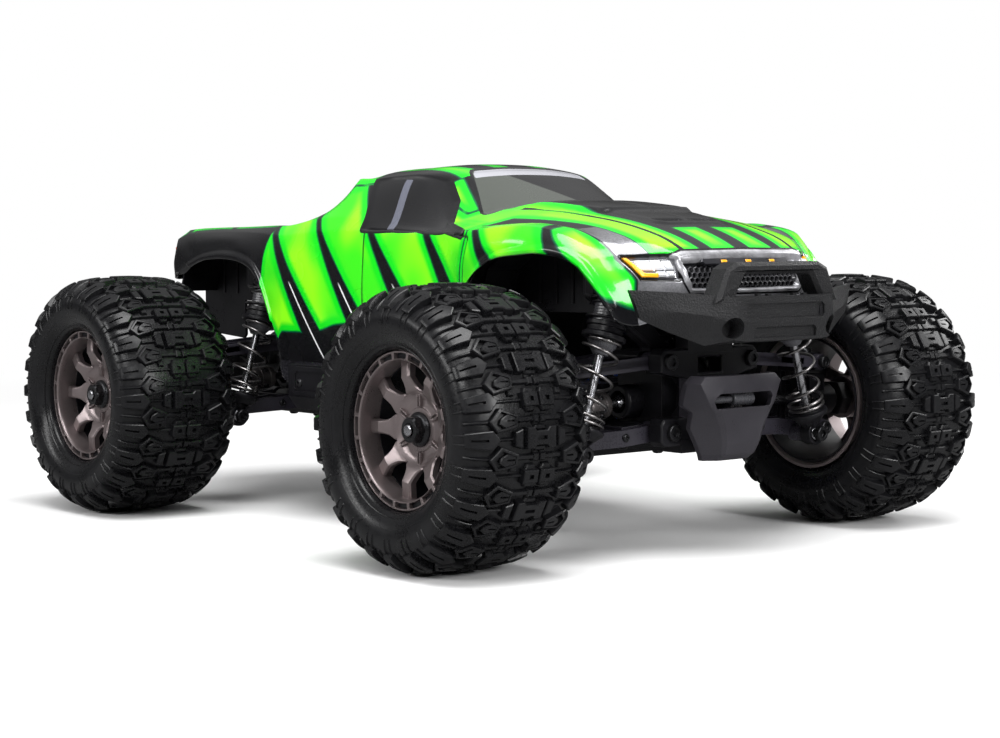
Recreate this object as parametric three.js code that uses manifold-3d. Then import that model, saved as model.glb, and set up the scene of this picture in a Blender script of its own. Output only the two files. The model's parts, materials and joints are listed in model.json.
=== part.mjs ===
// Electric four-wheel-drive monster truck, about 1/18 scale.
// Frame: origin on the ground midway between the axles, +X forward, +Y left, +Z up, millimetres.
// Every separate piece is one closed mesh. Pieces of different bodies keep running gaps.
import * as THREE from 'three';
import { mergeVertices } from 'three/addons/utils/BufferGeometryUtils.js';
import Module from 'manifold-3d';

const wasm = await Module();
wasm.setup();

// ---------------------------------------------------------------- driving dimensions
const AX = 104;            // axle distance from mid-wheelbase (wheelbase 208)
const TRACK_Y = 96.5;      // tyre centre plane
const WHEEL_Z = 46.7;      // axle height = tyre radius
const TYRE_R = 46.7, TYRE_HALF = 25.5;
const RIM_R = 25.7;
const LOW_IN = [18, 41.5], LOW_OUT = [70, 37.3];     // lower arm pivots (y, z)
const UP_IN = [19.5, 65.5], UP_OUT = [71.5, 61.3];   // upper arm pivots (y, z)
const KING_Y = 72.5;                                 // steering axis
const HALF_IN = [20.5, 50.9];                        // inner driveshaft joint (y, z)
const SHOCK_X = 18;                                  // shock plane ahead of its axle
const SHOCK_TOP = [38, 98], SHOCK_EYE = [57, 36.5];  // shock pivots (y, z)
const STEER_ARM = 16;                                // knuckle and bell crank arm length
const LINK_X = AX - STEER_ARM;                       // tie rod line
const CRANK = [79, 12];                              // bell crank pivot (x, y)
const DRIVE_Z = 50;                                  // centre driveshaft height
const SPUR_T = 28, PINION_T = 8, MODULE = 1;         // gear teeth
const SPUR_X = -70.5, GEAR_W = 4;
const HALF_LENGTH = 162;                             // bumper faces front and rear
const SHELL_T = 1.2;                                 // body shell thickness

// ---------------------------------------------------------------- geometry helpers
function solid(geo) {
  const g = geo.clone();
  g.deleteAttribute('normal');
  g.deleteAttribute('uv');
  const m = mergeVertices(g, 1e-4);
  const tri = m.index ? m.index.array : Uint32Array.from({ length: m.attributes.position.count }, (_, i) => i);
  return new wasm.Manifold(new wasm.Mesh({ numProp: 3, vertProperties: Float32Array.from(m.attributes.position.array), triVerts: Uint32Array.from(tri) }));
}
const join = (...s) => s.flat().reduce((a, b) => a.add(b));
const cut = (a, ...s) => s.flat().reduce((p, q) => p.subtract(q), a);
function box(x0, x1, y0, y1, z0, z1) {
  const g = new THREE.BoxGeometry(x1 - x0, y1 - y0, z1 - z0);
  g.translate((x0 + x1) / 2, (y0 + y1) / 2, (z0 + z1) / 2);
  return solid(g);
}
// straight round bar, or cone, between two points
function rod(p, q, r, n = 8, r2 = r) {
  const a = new THREE.Vector3(...p), b = new THREE.Vector3(...q), d = b.clone().sub(a);
  const g = new THREE.CylinderGeometry(r2, r, d.length(), n);
  g.rotateY(Math.PI / n);
  g.applyMatrix4(new THREE.Matrix4().makeRotationFromQuaternion(new THREE.Quaternion().setFromUnitVectors(new THREE.Vector3(0, 1, 0), d.normalize())));
  const c = a.add(b).multiplyScalar(0.5);
  g.translate(c.x, c.y, c.z);
  return solid(g);
}
function ball(c, r, n = 7) {
  const g = new THREE.SphereGeometry(r, n, 4);
  g.translate(...c);
  return solid(g);
}
// outline extruded along one axis: 'x' uses (y, z) points, 'y' uses (x, z), 'z' uses (x, y)
function slab(axis, lo, hi, pts, holes = []) {
  const g = new THREE.ExtrudeGeometry(new THREE.Shape(pts.map((p) => new THREE.Vector2(...p))), { depth: hi - lo, bevelEnabled: false, steps: 1, curveSegments: 1 });
  g.translate(0, 0, lo);
  const m = new THREE.Matrix4();
  if (axis === 'x') m.makeBasis(new THREE.Vector3(0, 1, 0), new THREE.Vector3(0, 0, 1), new THREE.Vector3(1, 0, 0));
  if (axis === 'y') m.makeBasis(new THREE.Vector3(1, 0, 0), new THREE.Vector3(0, 0, 1), new THREE.Vector3(0, -1, 0));
  g.applyMatrix4(m);
  if (axis === 'y') g.translate(0, lo + hi, 0);
  return cut(solid(g), holes.map((h) => slab(axis, lo - 1, hi + 1, h)));
}
// closed profile of (radius, height) turned about an axis through c, pointing along dir
function turned(profile, c, dir, n = 16) {
  const pts = profile.map((p) => new THREE.Vector2(...p));
  const g = new THREE.LatheGeometry(pts, n);
  g.rotateY(Math.PI / n);
  let s = solid(g);
  if (s.volume() < 0) throw new Error('profile turns the wrong way');
  const q = new THREE.Quaternion().setFromUnitVectors(new THREE.Vector3(0, 1, 0), new THREE.Vector3(...dir).normalize());
  const m = new THREE.Matrix4().makeRotationFromQuaternion(q);
  m.setPosition(...c);
  return s.transform(m.elements);
}
const circle = (cx, cy, r, n, a0 = 0) => Array.from({ length: n }, (_, i) => [cx + r * Math.cos(a0 + 2 * Math.PI * i / n), cy + r * Math.sin(a0 + 2 * Math.PI * i / n)]);

const root = new THREE.Group();
function geometryOf(s) {
  const m = s.getMesh();
  const g = new THREE.BufferGeometry();
  const p = new Float32Array(m.numVert * 3);
  for (let i = 0; i < m.numVert; i++) for (let k = 0; k < 3; k++) p[3 * i + k] = m.vertProperties[i * m.numProp + k];
  g.setAttribute('position', new THREE.BufferAttribute(p, 3));
  g.setIndex(new THREE.BufferAttribute(Uint32Array.from(m.triVerts), 1));
  g.computeVertexNormals();
  return g;
}
const MAT = {
  plastic: [0x26252b, 0.62, 0], tyre: [0x131314, 0.8, 0], rim: [0x5c534f, 0.4, 0.75], steel: [0xb8bac0, 0.3, 1],
  dark: [0x1b1b1f, 0.45, 0.6], shell: [0x1fd21a, 0.15, 0], battery: [0x2b3a8c, 0.4, 0], motor: [0x3a3a40, 0.3, 0.9], brass: [0xb08d3e, 0.35, 1],
};
function add(name, s, mat) {
  const [color, roughness, metalness] = MAT[mat];
  const mesh = new THREE.Mesh(geometryOf(s), new THREE.MeshStandardMaterial({ color, roughness, metalness }));
  mesh.name = name;
  root.add(mesh);
}
// place a left-hand piece built about the axle line: dx moves it along, side -1 mirrors it
function place(s, dx, side) {
  let g = s.translate([dx, 0, 0]);
  return side > 0 ? g : g.mirror([0, 1, 0]);
}

// ---------------------------------------------------------------- wheels
// tyre section in (radius, distance inboard to outboard); a flat of the lathe faces the ground
const K = 1 / Math.cos(Math.PI / 24);
const tyreSection = [[RIM_R + 0.4, -21.5], [33, -TYRE_HALF], [41, -TYRE_HALF + 0.4], [TYRE_R, -18.5], [TYRE_R, 18.5], [41, TYRE_HALF - 0.4], [33, TYRE_HALF], [RIM_R + 0.4, 21.5], [RIM_R + 0.4, -21.5]].map(([r, h]) => [r * K, h]);
const tyre = turned(tyreSection, [0, TRACK_Y, WHEEL_Z], [0, 1, 0], 24);
// rim: stepped barrel, plate with nine windows, hub with a clear bore
const barrel = turned([[23.4, -22.5], [RIM_R, -22.5], [RIM_R, 19.5], [23.4, 19.5], [23.4, -22.5]], [0, TRACK_Y, WHEEL_Z], [0, 1, 0], 16);
const windows = [];
for (let i = 0; i < 9; i++) {
  const a = 2 * Math.PI * (i + 0.5) / 9;
  windows.push([[10.4, -0.17], [19.5, -0.24], [19.5, 0.24], [10.4, 0.17]].map(([r, t]) => [r * Math.cos(a + t), WHEEL_Z + r * Math.sin(a + t)]));
}
const disc = slab('y', 109, 112.4, circle(0, WHEEL_Z, 24.4, 16, Math.PI / 16), windows);
const hub = rod([0, 93, WHEEL_Z], [0, 110, WHEEL_Z], 8, 8);
const rim = cut(join(barrel, disc, hub), rod([0, 90, WHEEL_Z], [0, 116, WHEEL_Z], 3, 8));
// stub axle: drive cup, shaft, hex drive and flanged wheel nut in one turning piece
const axle = cut(join(
  rod([0, 69.8, WHEEL_Z], [0, 76.6, WHEEL_Z], 4.9, 10), rod([0, 76, WHEEL_Z], [0, 116, WHEEL_Z], 2.5, 6),
  rod([0, 87, WHEEL_Z], [0, 92.6, WHEEL_Z], 6.9, 6), rod([0, 112.8, WHEEL_Z], [0, 117.6, WHEEL_Z], 4.2, 6)),
rod([0, 69, WHEEL_Z], [0, 75.6, WHEEL_Z], 3.7, 8));

// ---------------------------------------------------------------- suspension arms (left corner)
const tilt = Math.atan2(LOW_OUT[1] - LOW_IN[1], LOW_OUT[0] - LOW_IN[0]);
// arm outlines are drawn flat at the inner pivot height and tilted down to the outer pivot
function tilted(s, piv) {
  const c = Math.cos(tilt), n = Math.sin(tilt);
  const m = new THREE.Matrix4().set(1, 0, 0, 0, 0, c, -n, piv[0] - c * piv[0] + n * piv[1], 0, n, c, piv[1] - n * piv[0] - c * piv[1], 0, 0, 0, 1);
  return s.transform(m.elements);
}
const ARM = Math.hypot(LOW_OUT[0] - LOW_IN[0], LOW_OUT[1] - LOW_IN[1]);
function barX(x0, x1, y, z, r, n = 8) { return rod([x0, y, z], [x1, y, z], r, n); }
const lyo = LOW_IN[0] + ARM;
let lowerArm = join(
  slab('z', LOW_IN[1] - 2.4, LOW_IN[1] + 2.4, [[-16, 18], [-10, 18], [-9, 29], [9, 29], [10, 18], [16, 18], [15.5, 34], [9.6, 46], [9.6, 58], [11.5, 63], [11.5, 70], [6.6, 70], [6.6, 61.6], [-6.6, 61.6], [-6.6, 70], [-11.5, 70], [-11.5, 63], [-12.5, 40]],
    [[[-6.5, 33], [-7.5, 47], [-1.6, 47], [-1.6, 33]], [[1.6, 33], [1.6, 47], [5.5, 46], [8.5, 33]]]),
  barX(-16, -10, LOW_IN[0], LOW_IN[1], 3.3), barX(10, 16, LOW_IN[0], LOW_IN[1], 3.3),
  barX(-11.5, -6.6, lyo, LOW_IN[1], 3.2), barX(6.6, 11.5, lyo, LOW_IN[1], 3.2));
lowerArm = tilted(lowerArm, LOW_IN);
lowerArm = join(lowerArm, rod([9, SHOCK_EYE[0], SHOCK_EYE[1]], [SHOCK_X - 3.1, SHOCK_EYE[0], SHOCK_EYE[1]], 3.2, 8),
  rod([9, SHOCK_EYE[0], SHOCK_EYE[1]], [SHOCK_X + 3.4, SHOCK_EYE[0], SHOCK_EYE[1]], 1.5, 6), rod([SHOCK_X + 3.3, SHOCK_EYE[0], SHOCK_EYE[1]], [SHOCK_X + 5.4, SHOCK_EYE[0], SHOCK_EYE[1]], 3.2, 6));
lowerArm = cut(lowerArm, barX(-18, 18, LOW_IN[0], LOW_IN[1], 1.85, 6), barX(-13, 13, LOW_OUT[0], LOW_OUT[1], 1.75, 6));
const uyo = UP_IN[0] + ARM;
let upperArm = join(
  slab('z', UP_IN[1] - 2, UP_IN[1] + 2, [[-10, 19.5], [-4.6, 19.5], [-4.4, 30], [5, 34], [11.4, 26], [11.4, 19.5], [16, 19.5], [15, 30], [9.4, 50], [9.4, 71.5], [6.4, 71.5], [6.4, 61], [-6.4, 61], [-6.4, 71.5], [-9.4, 71.5], [-9.4, 50]],
    [[[-4.6, 36], [-5, 54], [4.6, 54], [6.4, 40]]]),
  barX(-10, -4.6, UP_IN[0], UP_IN[1], 3.1), barX(11.4, 16, UP_IN[0], UP_IN[1], 3.1),
  barX(-9.4, -6.4, uyo, UP_IN[1], 3), barX(6.4, 9.4, uyo, UP_IN[1], 3));
upperArm = cut(tilted(upperArm, UP_IN), barX(-12, 18, UP_IN[0], UP_IN[1], 1.75, 6), barX(-11, 11, UP_OUT[0], UP_OUT[1], 1.7, 6));

// caster block: open C around the steering knuckle, with both outer hinge pins
const casterBlock = join(
  cut(box(-5.7, 5.7, 64, 77, 57.6, 64.6), rod([0, KING_Y, 57], [0, KING_Y, 59.4], 2.35, 8)),
  cut(box(-5.7, 5.7, 63.6, 76.4, 34, 40.2), rod([0, KING_Y, 38.9], [0, KING_Y, 41], 2.35, 8)),
  cut(box(-5.7, 5.7, 63.8, 66.8, 39, 58), box(-3.9, 3.9, 60, 70, 42.4, 55)),
  barX(-12.4, 12.4, LOW_OUT[0], LOW_OUT[1], 1.35, 6), barX(-10.4, 10.4, UP_OUT[0], UP_OUT[1], 1.3, 6));
// steering knuckle: axle bearing carrier with kingpins and a rear steering arm
const knuckle = cut(join(
  box(-5, 5, 70, 78, 40.6, 56.8), rod([0, 70, WHEEL_Z], [0, 84.5, WHEEL_Z], 6.1, 12),
  rod([0, KING_Y, 39.2], [0, KING_Y, 59], 2, 6),
  box(-STEER_ARM - 2.4, -4, 71, 75.4, 49.4, 52.2), rod([-STEER_ARM, KING_Y, 44.3], [-STEER_ARM, KING_Y, 50], 1.2, 6)),
rod([0, 69, WHEEL_Z], [0, 77.2, WHEEL_Z], 5.25, 12), rod([0, 76, WHEEL_Z], [0, 86, WHEEL_Z], 2.9, 8));
// rear hub carrier: knuckle and caster block in one
const carrier = cut(join(
  box(-5.7, 5.7, 64, 76, 34, 64.6), box(-9, 9, 64, 76, 43.2, 55), rod([0, 66, WHEEL_Z], [0, 84.5, WHEEL_Z], 7.4, 10),
  barX(-12.4, 12.4, LOW_OUT[0], LOW_OUT[1], 1.35, 6), barX(-10.4, 10.4, UP_OUT[0], UP_OUT[1], 1.3, 6)),
rod([0, 60, WHEEL_Z], [0, 77.2, WHEEL_Z], 5.25, 12), rod([0, 76, WHEEL_Z], [0, 86, WHEEL_Z], 2.9, 8));
// half shaft: ball, bar, ball
const halfIn = [0, ...HALF_IN], halfOut = [0, KING_Y, WHEEL_Z];
const halfshaft = join(ball(halfIn, 2.8), rod(halfIn, halfOut, 1.5, 6), ball(halfOut, 2.8));
// tie rod: rod between two eyes that hang on the centre link and the steering arm
const tieIn = [-STEER_ARM, HALF_IN[0], HALF_IN[1]], tieOut = [-STEER_ARM, KING_Y, WHEEL_Z];
const tieRod = cut(join(
  rod([tieIn[0], tieIn[1] + 2.6, tieIn[2] - 0.2], [tieOut[0], tieOut[1] - 2.6, tieOut[2] + 0.2], 1.5, 6),
  rod([tieIn[0], tieIn[1], tieIn[2] - 1.7], [tieIn[0], tieIn[1], tieIn[2] + 1.7], 3.6, 8),
  rod([tieOut[0], tieOut[1], tieOut[2] - 1.7], [tieOut[0], tieOut[1], tieOut[2] + 1.7], 3.4, 8)),
rod([tieIn[0], tieIn[1], 46], [tieIn[0], tieIn[1], 56], 2.4, 8), rod([tieOut[0], tieOut[1], 42], [tieOut[0], tieOut[1], 52], 2.4, 8));

// ---------------------------------------------------------------- shocks (left corner)
const shockLen = Math.hypot(SHOCK_EYE[0] - SHOCK_TOP[0], SHOCK_EYE[1] - SHOCK_TOP[1]);
const down = [0, (SHOCK_EYE[0] - SHOCK_TOP[0]) / shockLen, (SHOCK_EYE[1] - SHOCK_TOP[1]) / shockLen];
const shockTop = [SHOCK_X, ...SHOCK_TOP], shockEye = [SHOCK_X, ...SHOCK_EYE];
// distances s run down the shock from its top pivot
const shockBody = cut(join(
  turned([[0, 1], [2.6, 1], [2.6, 3.6], [5.9, 4.2], [5.9, 10], [4.9, 10.6], [4.9, 20.4], [6.9, 20.6], [6.9, 24.4], [4.9, 24.6], [4.9, 34], [0, 34]], shockTop, down, 8),
  barX(SHOCK_X - 2.5, SHOCK_X + 2.5, SHOCK_TOP[0], SHOCK_TOP[1], 3.6)),
barX(SHOCK_X - 4, SHOCK_X + 4, SHOCK_TOP[0], SHOCK_TOP[1], 1.85, 6),
rod([SHOCK_X, SHOCK_TOP[0] + down[1] * 5.5, SHOCK_TOP[1] + down[2] * 5.5], [SHOCK_X, SHOCK_TOP[0] + down[1] * 36, SHOCK_TOP[1] + down[2] * 36], 2.2, 6));
const at = (s) => [SHOCK_X, SHOCK_TOP[0] + down[1] * s, SHOCK_TOP[1] + down[2] * s];
const shockShaft = cut(join(
  rod(at(15.6), at(58), 1.5, 6), turned([[0, 55.6], [7, 55.6], [7, 56.8], [5.2, 58.6], [2.6, 59], [2.6, 62], [0, 62]], shockTop, down, 8),
  barX(SHOCK_X - 2.4, SHOCK_X + 2.4, SHOCK_EYE[0], SHOCK_EYE[1], 4.2)),
barX(SHOCK_X - 4, SHOCK_X + 4, SHOCK_EYE[0], SHOCK_EYE[1], 2.75, 8));
// coil spring as a square wire on a helix between collar and lower cup
function spring() {
  const turns = 5, n = 36, r = 6.15, s0 = 25.3, s1 = 54.9;
  const pts = [];
  const ex = new THREE.Vector3(1, 0, 0), ez = new THREE.Vector3(...down), ey = ez.clone().cross(ex);
  for (let i = 0; i <= n; i++) {
    const t = i / n, a = 2 * Math.PI * turns * t;
    const s = s0 + (s1 - s0) * (t < 0.08 ? t * 0.35 : t > 0.92 ? 1 - (1 - t) * 0.35 : 0.028 + (t - 0.08) * (0.944 / 0.84));
    pts.push(new THREE.Vector3(...at(s)).addScaledVector(ex, r * Math.cos(a)).addScaledVector(ey, r * Math.sin(a)));
  }
  const w = 0.5, verts = [], idx = [];
  for (let i = 0; i <= n; i++) {
    const t = pts[Math.min(i + 1, n)].clone().sub(pts[Math.max(i - 1, 0)]).normalize();
    const c = pts[i].clone().sub(new THREE.Vector3(...shockTop)), ax = ez.clone().multiplyScalar(c.dot(ez));
    const rad = c.sub(ax).normalize(), up = t.clone().cross(rad).normalize();
    for (const [u, v] of [[-w, -w], [w, -w], [w, w], [-w, w]]) verts.push(...pts[i].clone().addScaledVector(rad, u).addScaledVector(up, v).toArray());
  }
  for (let i = 0; i < n; i++) for (let k = 0; k < 4; k++) {
    const a = 4 * i + k, b = 4 * i + (k + 1) % 4, c = a + 4, d = b + 4;
    idx.push(a, b, d, a, d, c);
  }
  idx.push(0, 2, 1, 0, 3, 2);
  const e = 4 * n;
  idx.push(e, e + 1, e + 2, e, e + 2, e + 3);
  const make = (ix) => {
    const g = new THREE.BufferGeometry();
    g.setAttribute('position', new THREE.BufferAttribute(new Float32Array(verts), 3));
    g.setIndex(ix);
    return solid(g);
  };
  let s = make(idx);
  if (s.volume() < 0) {
    const flip = [];
    for (let i = 0; i < idx.length; i += 3) flip.push(idx[i], idx[i + 2], idx[i + 1]);
    s = make(flip);
  }
  return s;
}
const coil = spring();

for (const [end, dx] of [['front', AX], ['rear', -AX]]) for (const [hand, side] of [['left', 1], ['right', -1]]) {
  const n = (s) => `${end}_${hand}_${s}`;
  add(n('lower_arm'), place(lowerArm, dx, side), 'plastic');
  add(n('upper_arm'), place(upperArm, dx, side), 'plastic');
  if (end === 'front') {
    add(n('caster_block'), place(casterBlock, dx, side), 'plastic');
    add(n('knuckle'), place(knuckle, dx, side), 'plastic');
    add(n('tie_rod'), place(tieRod, dx, side), 'dark');
  } else add(n('hub_carrier'), place(carrier, dx, side), 'plastic');
  add(n('stub_axle'), place(axle, dx, side), 'dark');
  add(n('rim'), place(rim, dx, side), 'rim');
  add(n('tyre'), place(tyre, dx, side), 'tyre');
  add(n('halfshaft'), place(halfshaft, dx, side), 'steel');
  add(n('shock_body'), place(shockBody, dx, side), 'dark');
  add(n('shock_shaft'), place(shockShaft, dx, side), 'steel');
  add(n('spring'), place(coil, dx, side), 'steel');
}

// ---------------------------------------------------------------- gearbox bulkheads with shock towers
const both = (f) => [f(1), f(-1)];
function bulkhead() {
  let s = join(
    box(-11, 14, -14.4, 14.4, 36, 68.5), box(-20, 23, -14, 14, 34, 39), box(-9, 9, -22, 22, 36.6, 45.4),
    box(16.5, 23, -23.5, 23.5, 36.6, 70), box(-20, -16.6, -22, 22, 34.5, 45.4), box(-3.8, 10.8, -23, 23, 62, 69),
    slab('x', 7.5, 10.5, [[-15, 60], [15, 60], [18, 70], [44, 88], [44, 101.5], [36, 104], [20, 96], [-20, 96], [-36, 104], [-44, 101.5], [-44, 88], [-18, 70]], [[[-12, 74], [-20, 82], [-12, 90], [12, 90], [20, 82], [12, 74]]]));
  for (const k of [1, -1]) {
    s = join(s, rod([0, k * 14, HALF_IN[1]], [0, k * 22.4, HALF_IN[1]], 6, 8),
      barX(-18.5, 22, k * LOW_IN[0], LOW_IN[1], 1.5, 6), barX(-12, 22, k * UP_IN[0], UP_IN[1], 1.4, 6),
      rod([10, k * SHOCK_TOP[0], SHOCK_TOP[1]], [SHOCK_X - 3, k * SHOCK_TOP[0], SHOCK_TOP[1]], 3, 6),
      barX(14, SHOCK_X + 3.1, k * SHOCK_TOP[0], SHOCK_TOP[1], 1.5, 6), rod([SHOCK_X + 3, k * SHOCK_TOP[0], SHOCK_TOP[1]], [SHOCK_X + 5, k * SHOCK_TOP[0], SHOCK_TOP[1]], 3, 6));
    s = cut(s, rod([0, k * 17.2, HALF_IN[1]], [0, k * 24, HALF_IN[1]], 3.8, 8));
  }
  return s;
}
const bulk = bulkhead();
add('front_bulkhead', cut(join(bulk.translate([AX, 0, 0]), box(AX + 16.5, AX + 23, -11, 11, 69, 80)), box(AX - 12, AX - 7.7, -3.4, 3.4, DRIVE_Z - 3.4, DRIVE_Z + 3.4)), 'plastic');
add('rear_bulkhead', cut(bulk.translate([-AX, 0, 0]), box(-AX + 20, -AX + 24, -3.4, 3.4, DRIVE_Z - 3.4, DRIVE_Z + 3.4)), 'plastic');

// ---------------------------------------------------------------- chassis tub with side guards
const tubHalf = [[-80.3, 15], [-66, 31], [-44, 39.6], [44, 39.6], [64, 31], [83.3, 15]];
const mirrorY = (p) => p.map(([x, y]) => [x, -y]).reverse();
let tub = join(
  slab('z', 30, 33, [...tubHalf, ...mirrorY(tubHalf)]),
  ...both((k) => slab('z', 30, 45, k > 0 ? [[-44, 37.2], [44, 37.2], [44, 39.6], [-44, 39.6]] : [[-44, -39.6], [44, -39.6], [44, -37.2], [-44, -37.2]])),
  // side guards: sloping shelf and a raised outer rail
  ...both((k) => slab('x', -42, 38, [[k * 38, 42], [k * 57, 42], [k * 61, 47], [k * 61, 59.5], [k * 57.6, 59.5], [k * 57.6, 49], [k * 38, 46.5]])),
  // battery end stops, centre bearing posts, bell crank post, motor cradle
  box(-56, -51, 6, 32, 32, 42), box(50, 54, 6, 32, 32, 42),
  cut(box(-62, -58, -4.4, 4.4, 32, 55), rod([-64, 0, DRIVE_Z], [-56, 0, DRIVE_Z], 2.4, 8)),
  cut(box(56, 60, -4.4, 4.4, 32, 53), rod([54, 0, DRIVE_Z], [62, 0, DRIVE_Z], 2.4, 8)),
  box(CRANK[0] - 4, CRANK[0] + 4, CRANK[1] - 4, CRANK[1] + 3, 31, 49.2), rod([CRANK[0], CRANK[1], 45], [CRANK[0], CRANK[1], 53], 2, 6),
  box(-64, -59.6, -27, -9, 32, 36), box(-38, -33, -27, -9, 32, 36),
  // battery strap hinge ears and pin
  box(-21, -16.4, 34.6, 39.6, 31, 52), box(16.4, 21, 34.6, 39.6, 31, 52), rod([-18, 37, 50], [18, 37, 50], 1.2, 8));
tub = cut(tub, box(-73.5, -67.5, -3, 3, 20, 32.9).translate([0, 0, 30]));
add('chassis_tub', tub, 'plastic');

// ---------------------------------------------------------------- power train and electronics inside the tub
function gear(teeth, module, x0, x1, y, z, phase, thin) {
  const rp = teeth * module / 2, ro = rp + 0.9 * module, ri = rp - 1.15 * module, pts = [];
  for (let i = 0; i < teeth; i++) {
    const a = 2 * Math.PI * (i + phase) / teeth, p = 2 * Math.PI / teeth;
    for (const [r, t] of [[ri, -0.36], [ro, -0.13 * thin], [ro, 0.13 * thin], [ri, 0.36]]) pts.push([y + r * Math.cos(a + t * p), z + r * Math.sin(a + t * p)]);
  }
  return slab('x', x0, x1, pts);
}
const gearGap = (SPUR_T + PINION_T) * MODULE / 2 + 0.15;
add('center_driveshaft', join(rod([-83, 0, DRIVE_Z], [94.5, 0, DRIVE_Z], 2, 8), gear(SPUR_T, MODULE, SPUR_X - GEAR_W / 2, SPUR_X + GEAR_W / 2, 0, DRIVE_Z, 0.5, 0.8), rod([SPUR_X + 2, 0, DRIVE_Z], [SPUR_X + 5, 0, DRIVE_Z], 4, 8)), 'steel');
const motorY = -gearGap;
add('pinion_gear', cut(gear(PINION_T, MODULE, SPUR_X - 2.4, SPUR_X + 2.4, motorY, DRIVE_Z, 0, 0.8), rod([SPUR_X - 4, motorY, DRIVE_Z], [SPUR_X + 4, motorY, DRIVE_Z], 1.3, 8)), 'brass');
add('drive_motor', join(rod([-64.8, motorY, DRIVE_Z], [-24, motorY, DRIVE_Z], 13.4, 16), rod([-73.4, motorY, DRIVE_Z], [-60, motorY, DRIVE_Z], 1, 8), rod([-66.2, motorY, DRIVE_Z], [-64, motorY, DRIVE_Z], 5, 8)), 'motor');
add('battery_pack', box(-50.5, 49.5, 5, 33, 33.4, 56), 'battery');
add('battery_strap', cut(join(rod([-15.9, 37, 50], [15.9, 37, 50], 2.3, 10), box(-15, 15, 35.2, 37.6, 51, 58.8), box(-15, 15, 2.6, 37.6, 56.5, 58.8), box(-8, 8, 2.6, 4.4, 53.6, 57)), rod([-17, 37, 50], [17, 37, 50], 1.5, 8)), 'plastic');
add('steering_servo', join(box(55, 82.9, -20, -5.2, 33.4, 47.4), rod([CRANK[0], -CRANK[1], 46], [CRANK[0], -CRANK[1], 49.2], 3, 8), rod([CRANK[0], -CRANK[1], 46], [CRANK[0], -CRANK[1], 53], 2, 6)), 'dark');
// bell cranks turn on the tub post and the servo output; link and tie rods hang on vertical pins
for (const [hand, k] of [['left', 1], ['right', -1]]) {
  const y = k * CRANK[1], x = CRANK[0], xj = x - STEER_ARM;
  add(`bellcrank_${hand}`, cut(join(rod([x, y, 49.5], [x, y, 53.1], 4, 8), box(xj, x, y - 2.4, y + 2.4, 49.5, 52.9), rod([xj, y, 49.5], [xj, y, 52.9], 3, 8), rod([xj, y, 52], [xj, y, 57.6], 1.2, 6)),
    rod([x, y, 48], [x, y, 55], 2.4, 8)), 'plastic');
}
const xj = CRANK[0] - STEER_ARM;
add('center_link', cut(join(
  box(LINK_X - 2.6, LINK_X + 2.4, -23, 23, 53.5, 56.3), ...both((k) => box(xj - 3, LINK_X, k * CRANK[1] - 3, k * CRANK[1] + 3, 53.5, 56.3)),
  ...both((k) => rod([LINK_X, k * HALF_IN[0], 48.6], [LINK_X, k * HALF_IN[0], 54], 1.2, 6))),
...both((k) => rod([xj, k * CRANK[1], 52], [xj, k * CRANK[1], 58], 1.6, 8))), 'plastic');

// ---------------------------------------------------------------- bumpers and skid plate
const wing = [[HALF_LENGTH, 0], [HALF_LENGTH, 22.5], [155.5, 29.5], [143.6, 53], [143.2, 49.6], [151.6, 27], [156, 18.5], [156, 0]];
const symY = (h) => [...h, ...h.slice(1, -1).reverse().map(([x, y]) => [x, -y])];
const hoop = cut(slab('x', 151.5, 158.6, [[-29, 86], [29, 86], [26, 97.6], [18, 99.4], [-18, 99.4], [-26, 97.6]]), slab('x', 150, 160, [[-23.6, 88.4], [23.6, 88.4], [21.6, 94.6], [16.6, 95.8], [-16.6, 95.8], [-21.6, 94.6]]));
add('front_bumper', join(
  slab('z', 78.5, 89.5, symY(wing)), slab('z', 72.6, 79, symY([[161.2, 0], [161.2, 17.5], [155, 26], [150.5, 25], [152, 14], [152, 0]])), hoop,
  box(127.4, 156.5, -9, 9, 72.8, 79.2)), 'plastic');
add('rear_bumper', join(
  slab('z', 46, 62, symY([[-HALF_LENGTH, 0], [-HALF_LENGTH, 20], [-154, 38], [-151, 37], [-156.5, 18], [-156.5, 0]].map(([x, y]) => [x, y]))), box(-158, -124.4, -9, 9, 40, 47.5)), 'plastic');
const skid = [[-12, 34], [-6, 32], [10, 32], [14, 36], [19, 58], [14, 61], [-14, 61], [-19, 58], [-14, 44]];
add('front_skid_plate', join(
  slab('x', 141.6, 145, skid, [[[-13, 52.4], [13, 52.4], [12, 49.6], [-12, 49.6]]]), box(127.4, 142.4, -8, 8, 56, 60), box(127.4, 142.4, -8, 8, 34.4, 38)), 'plastic');

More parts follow.
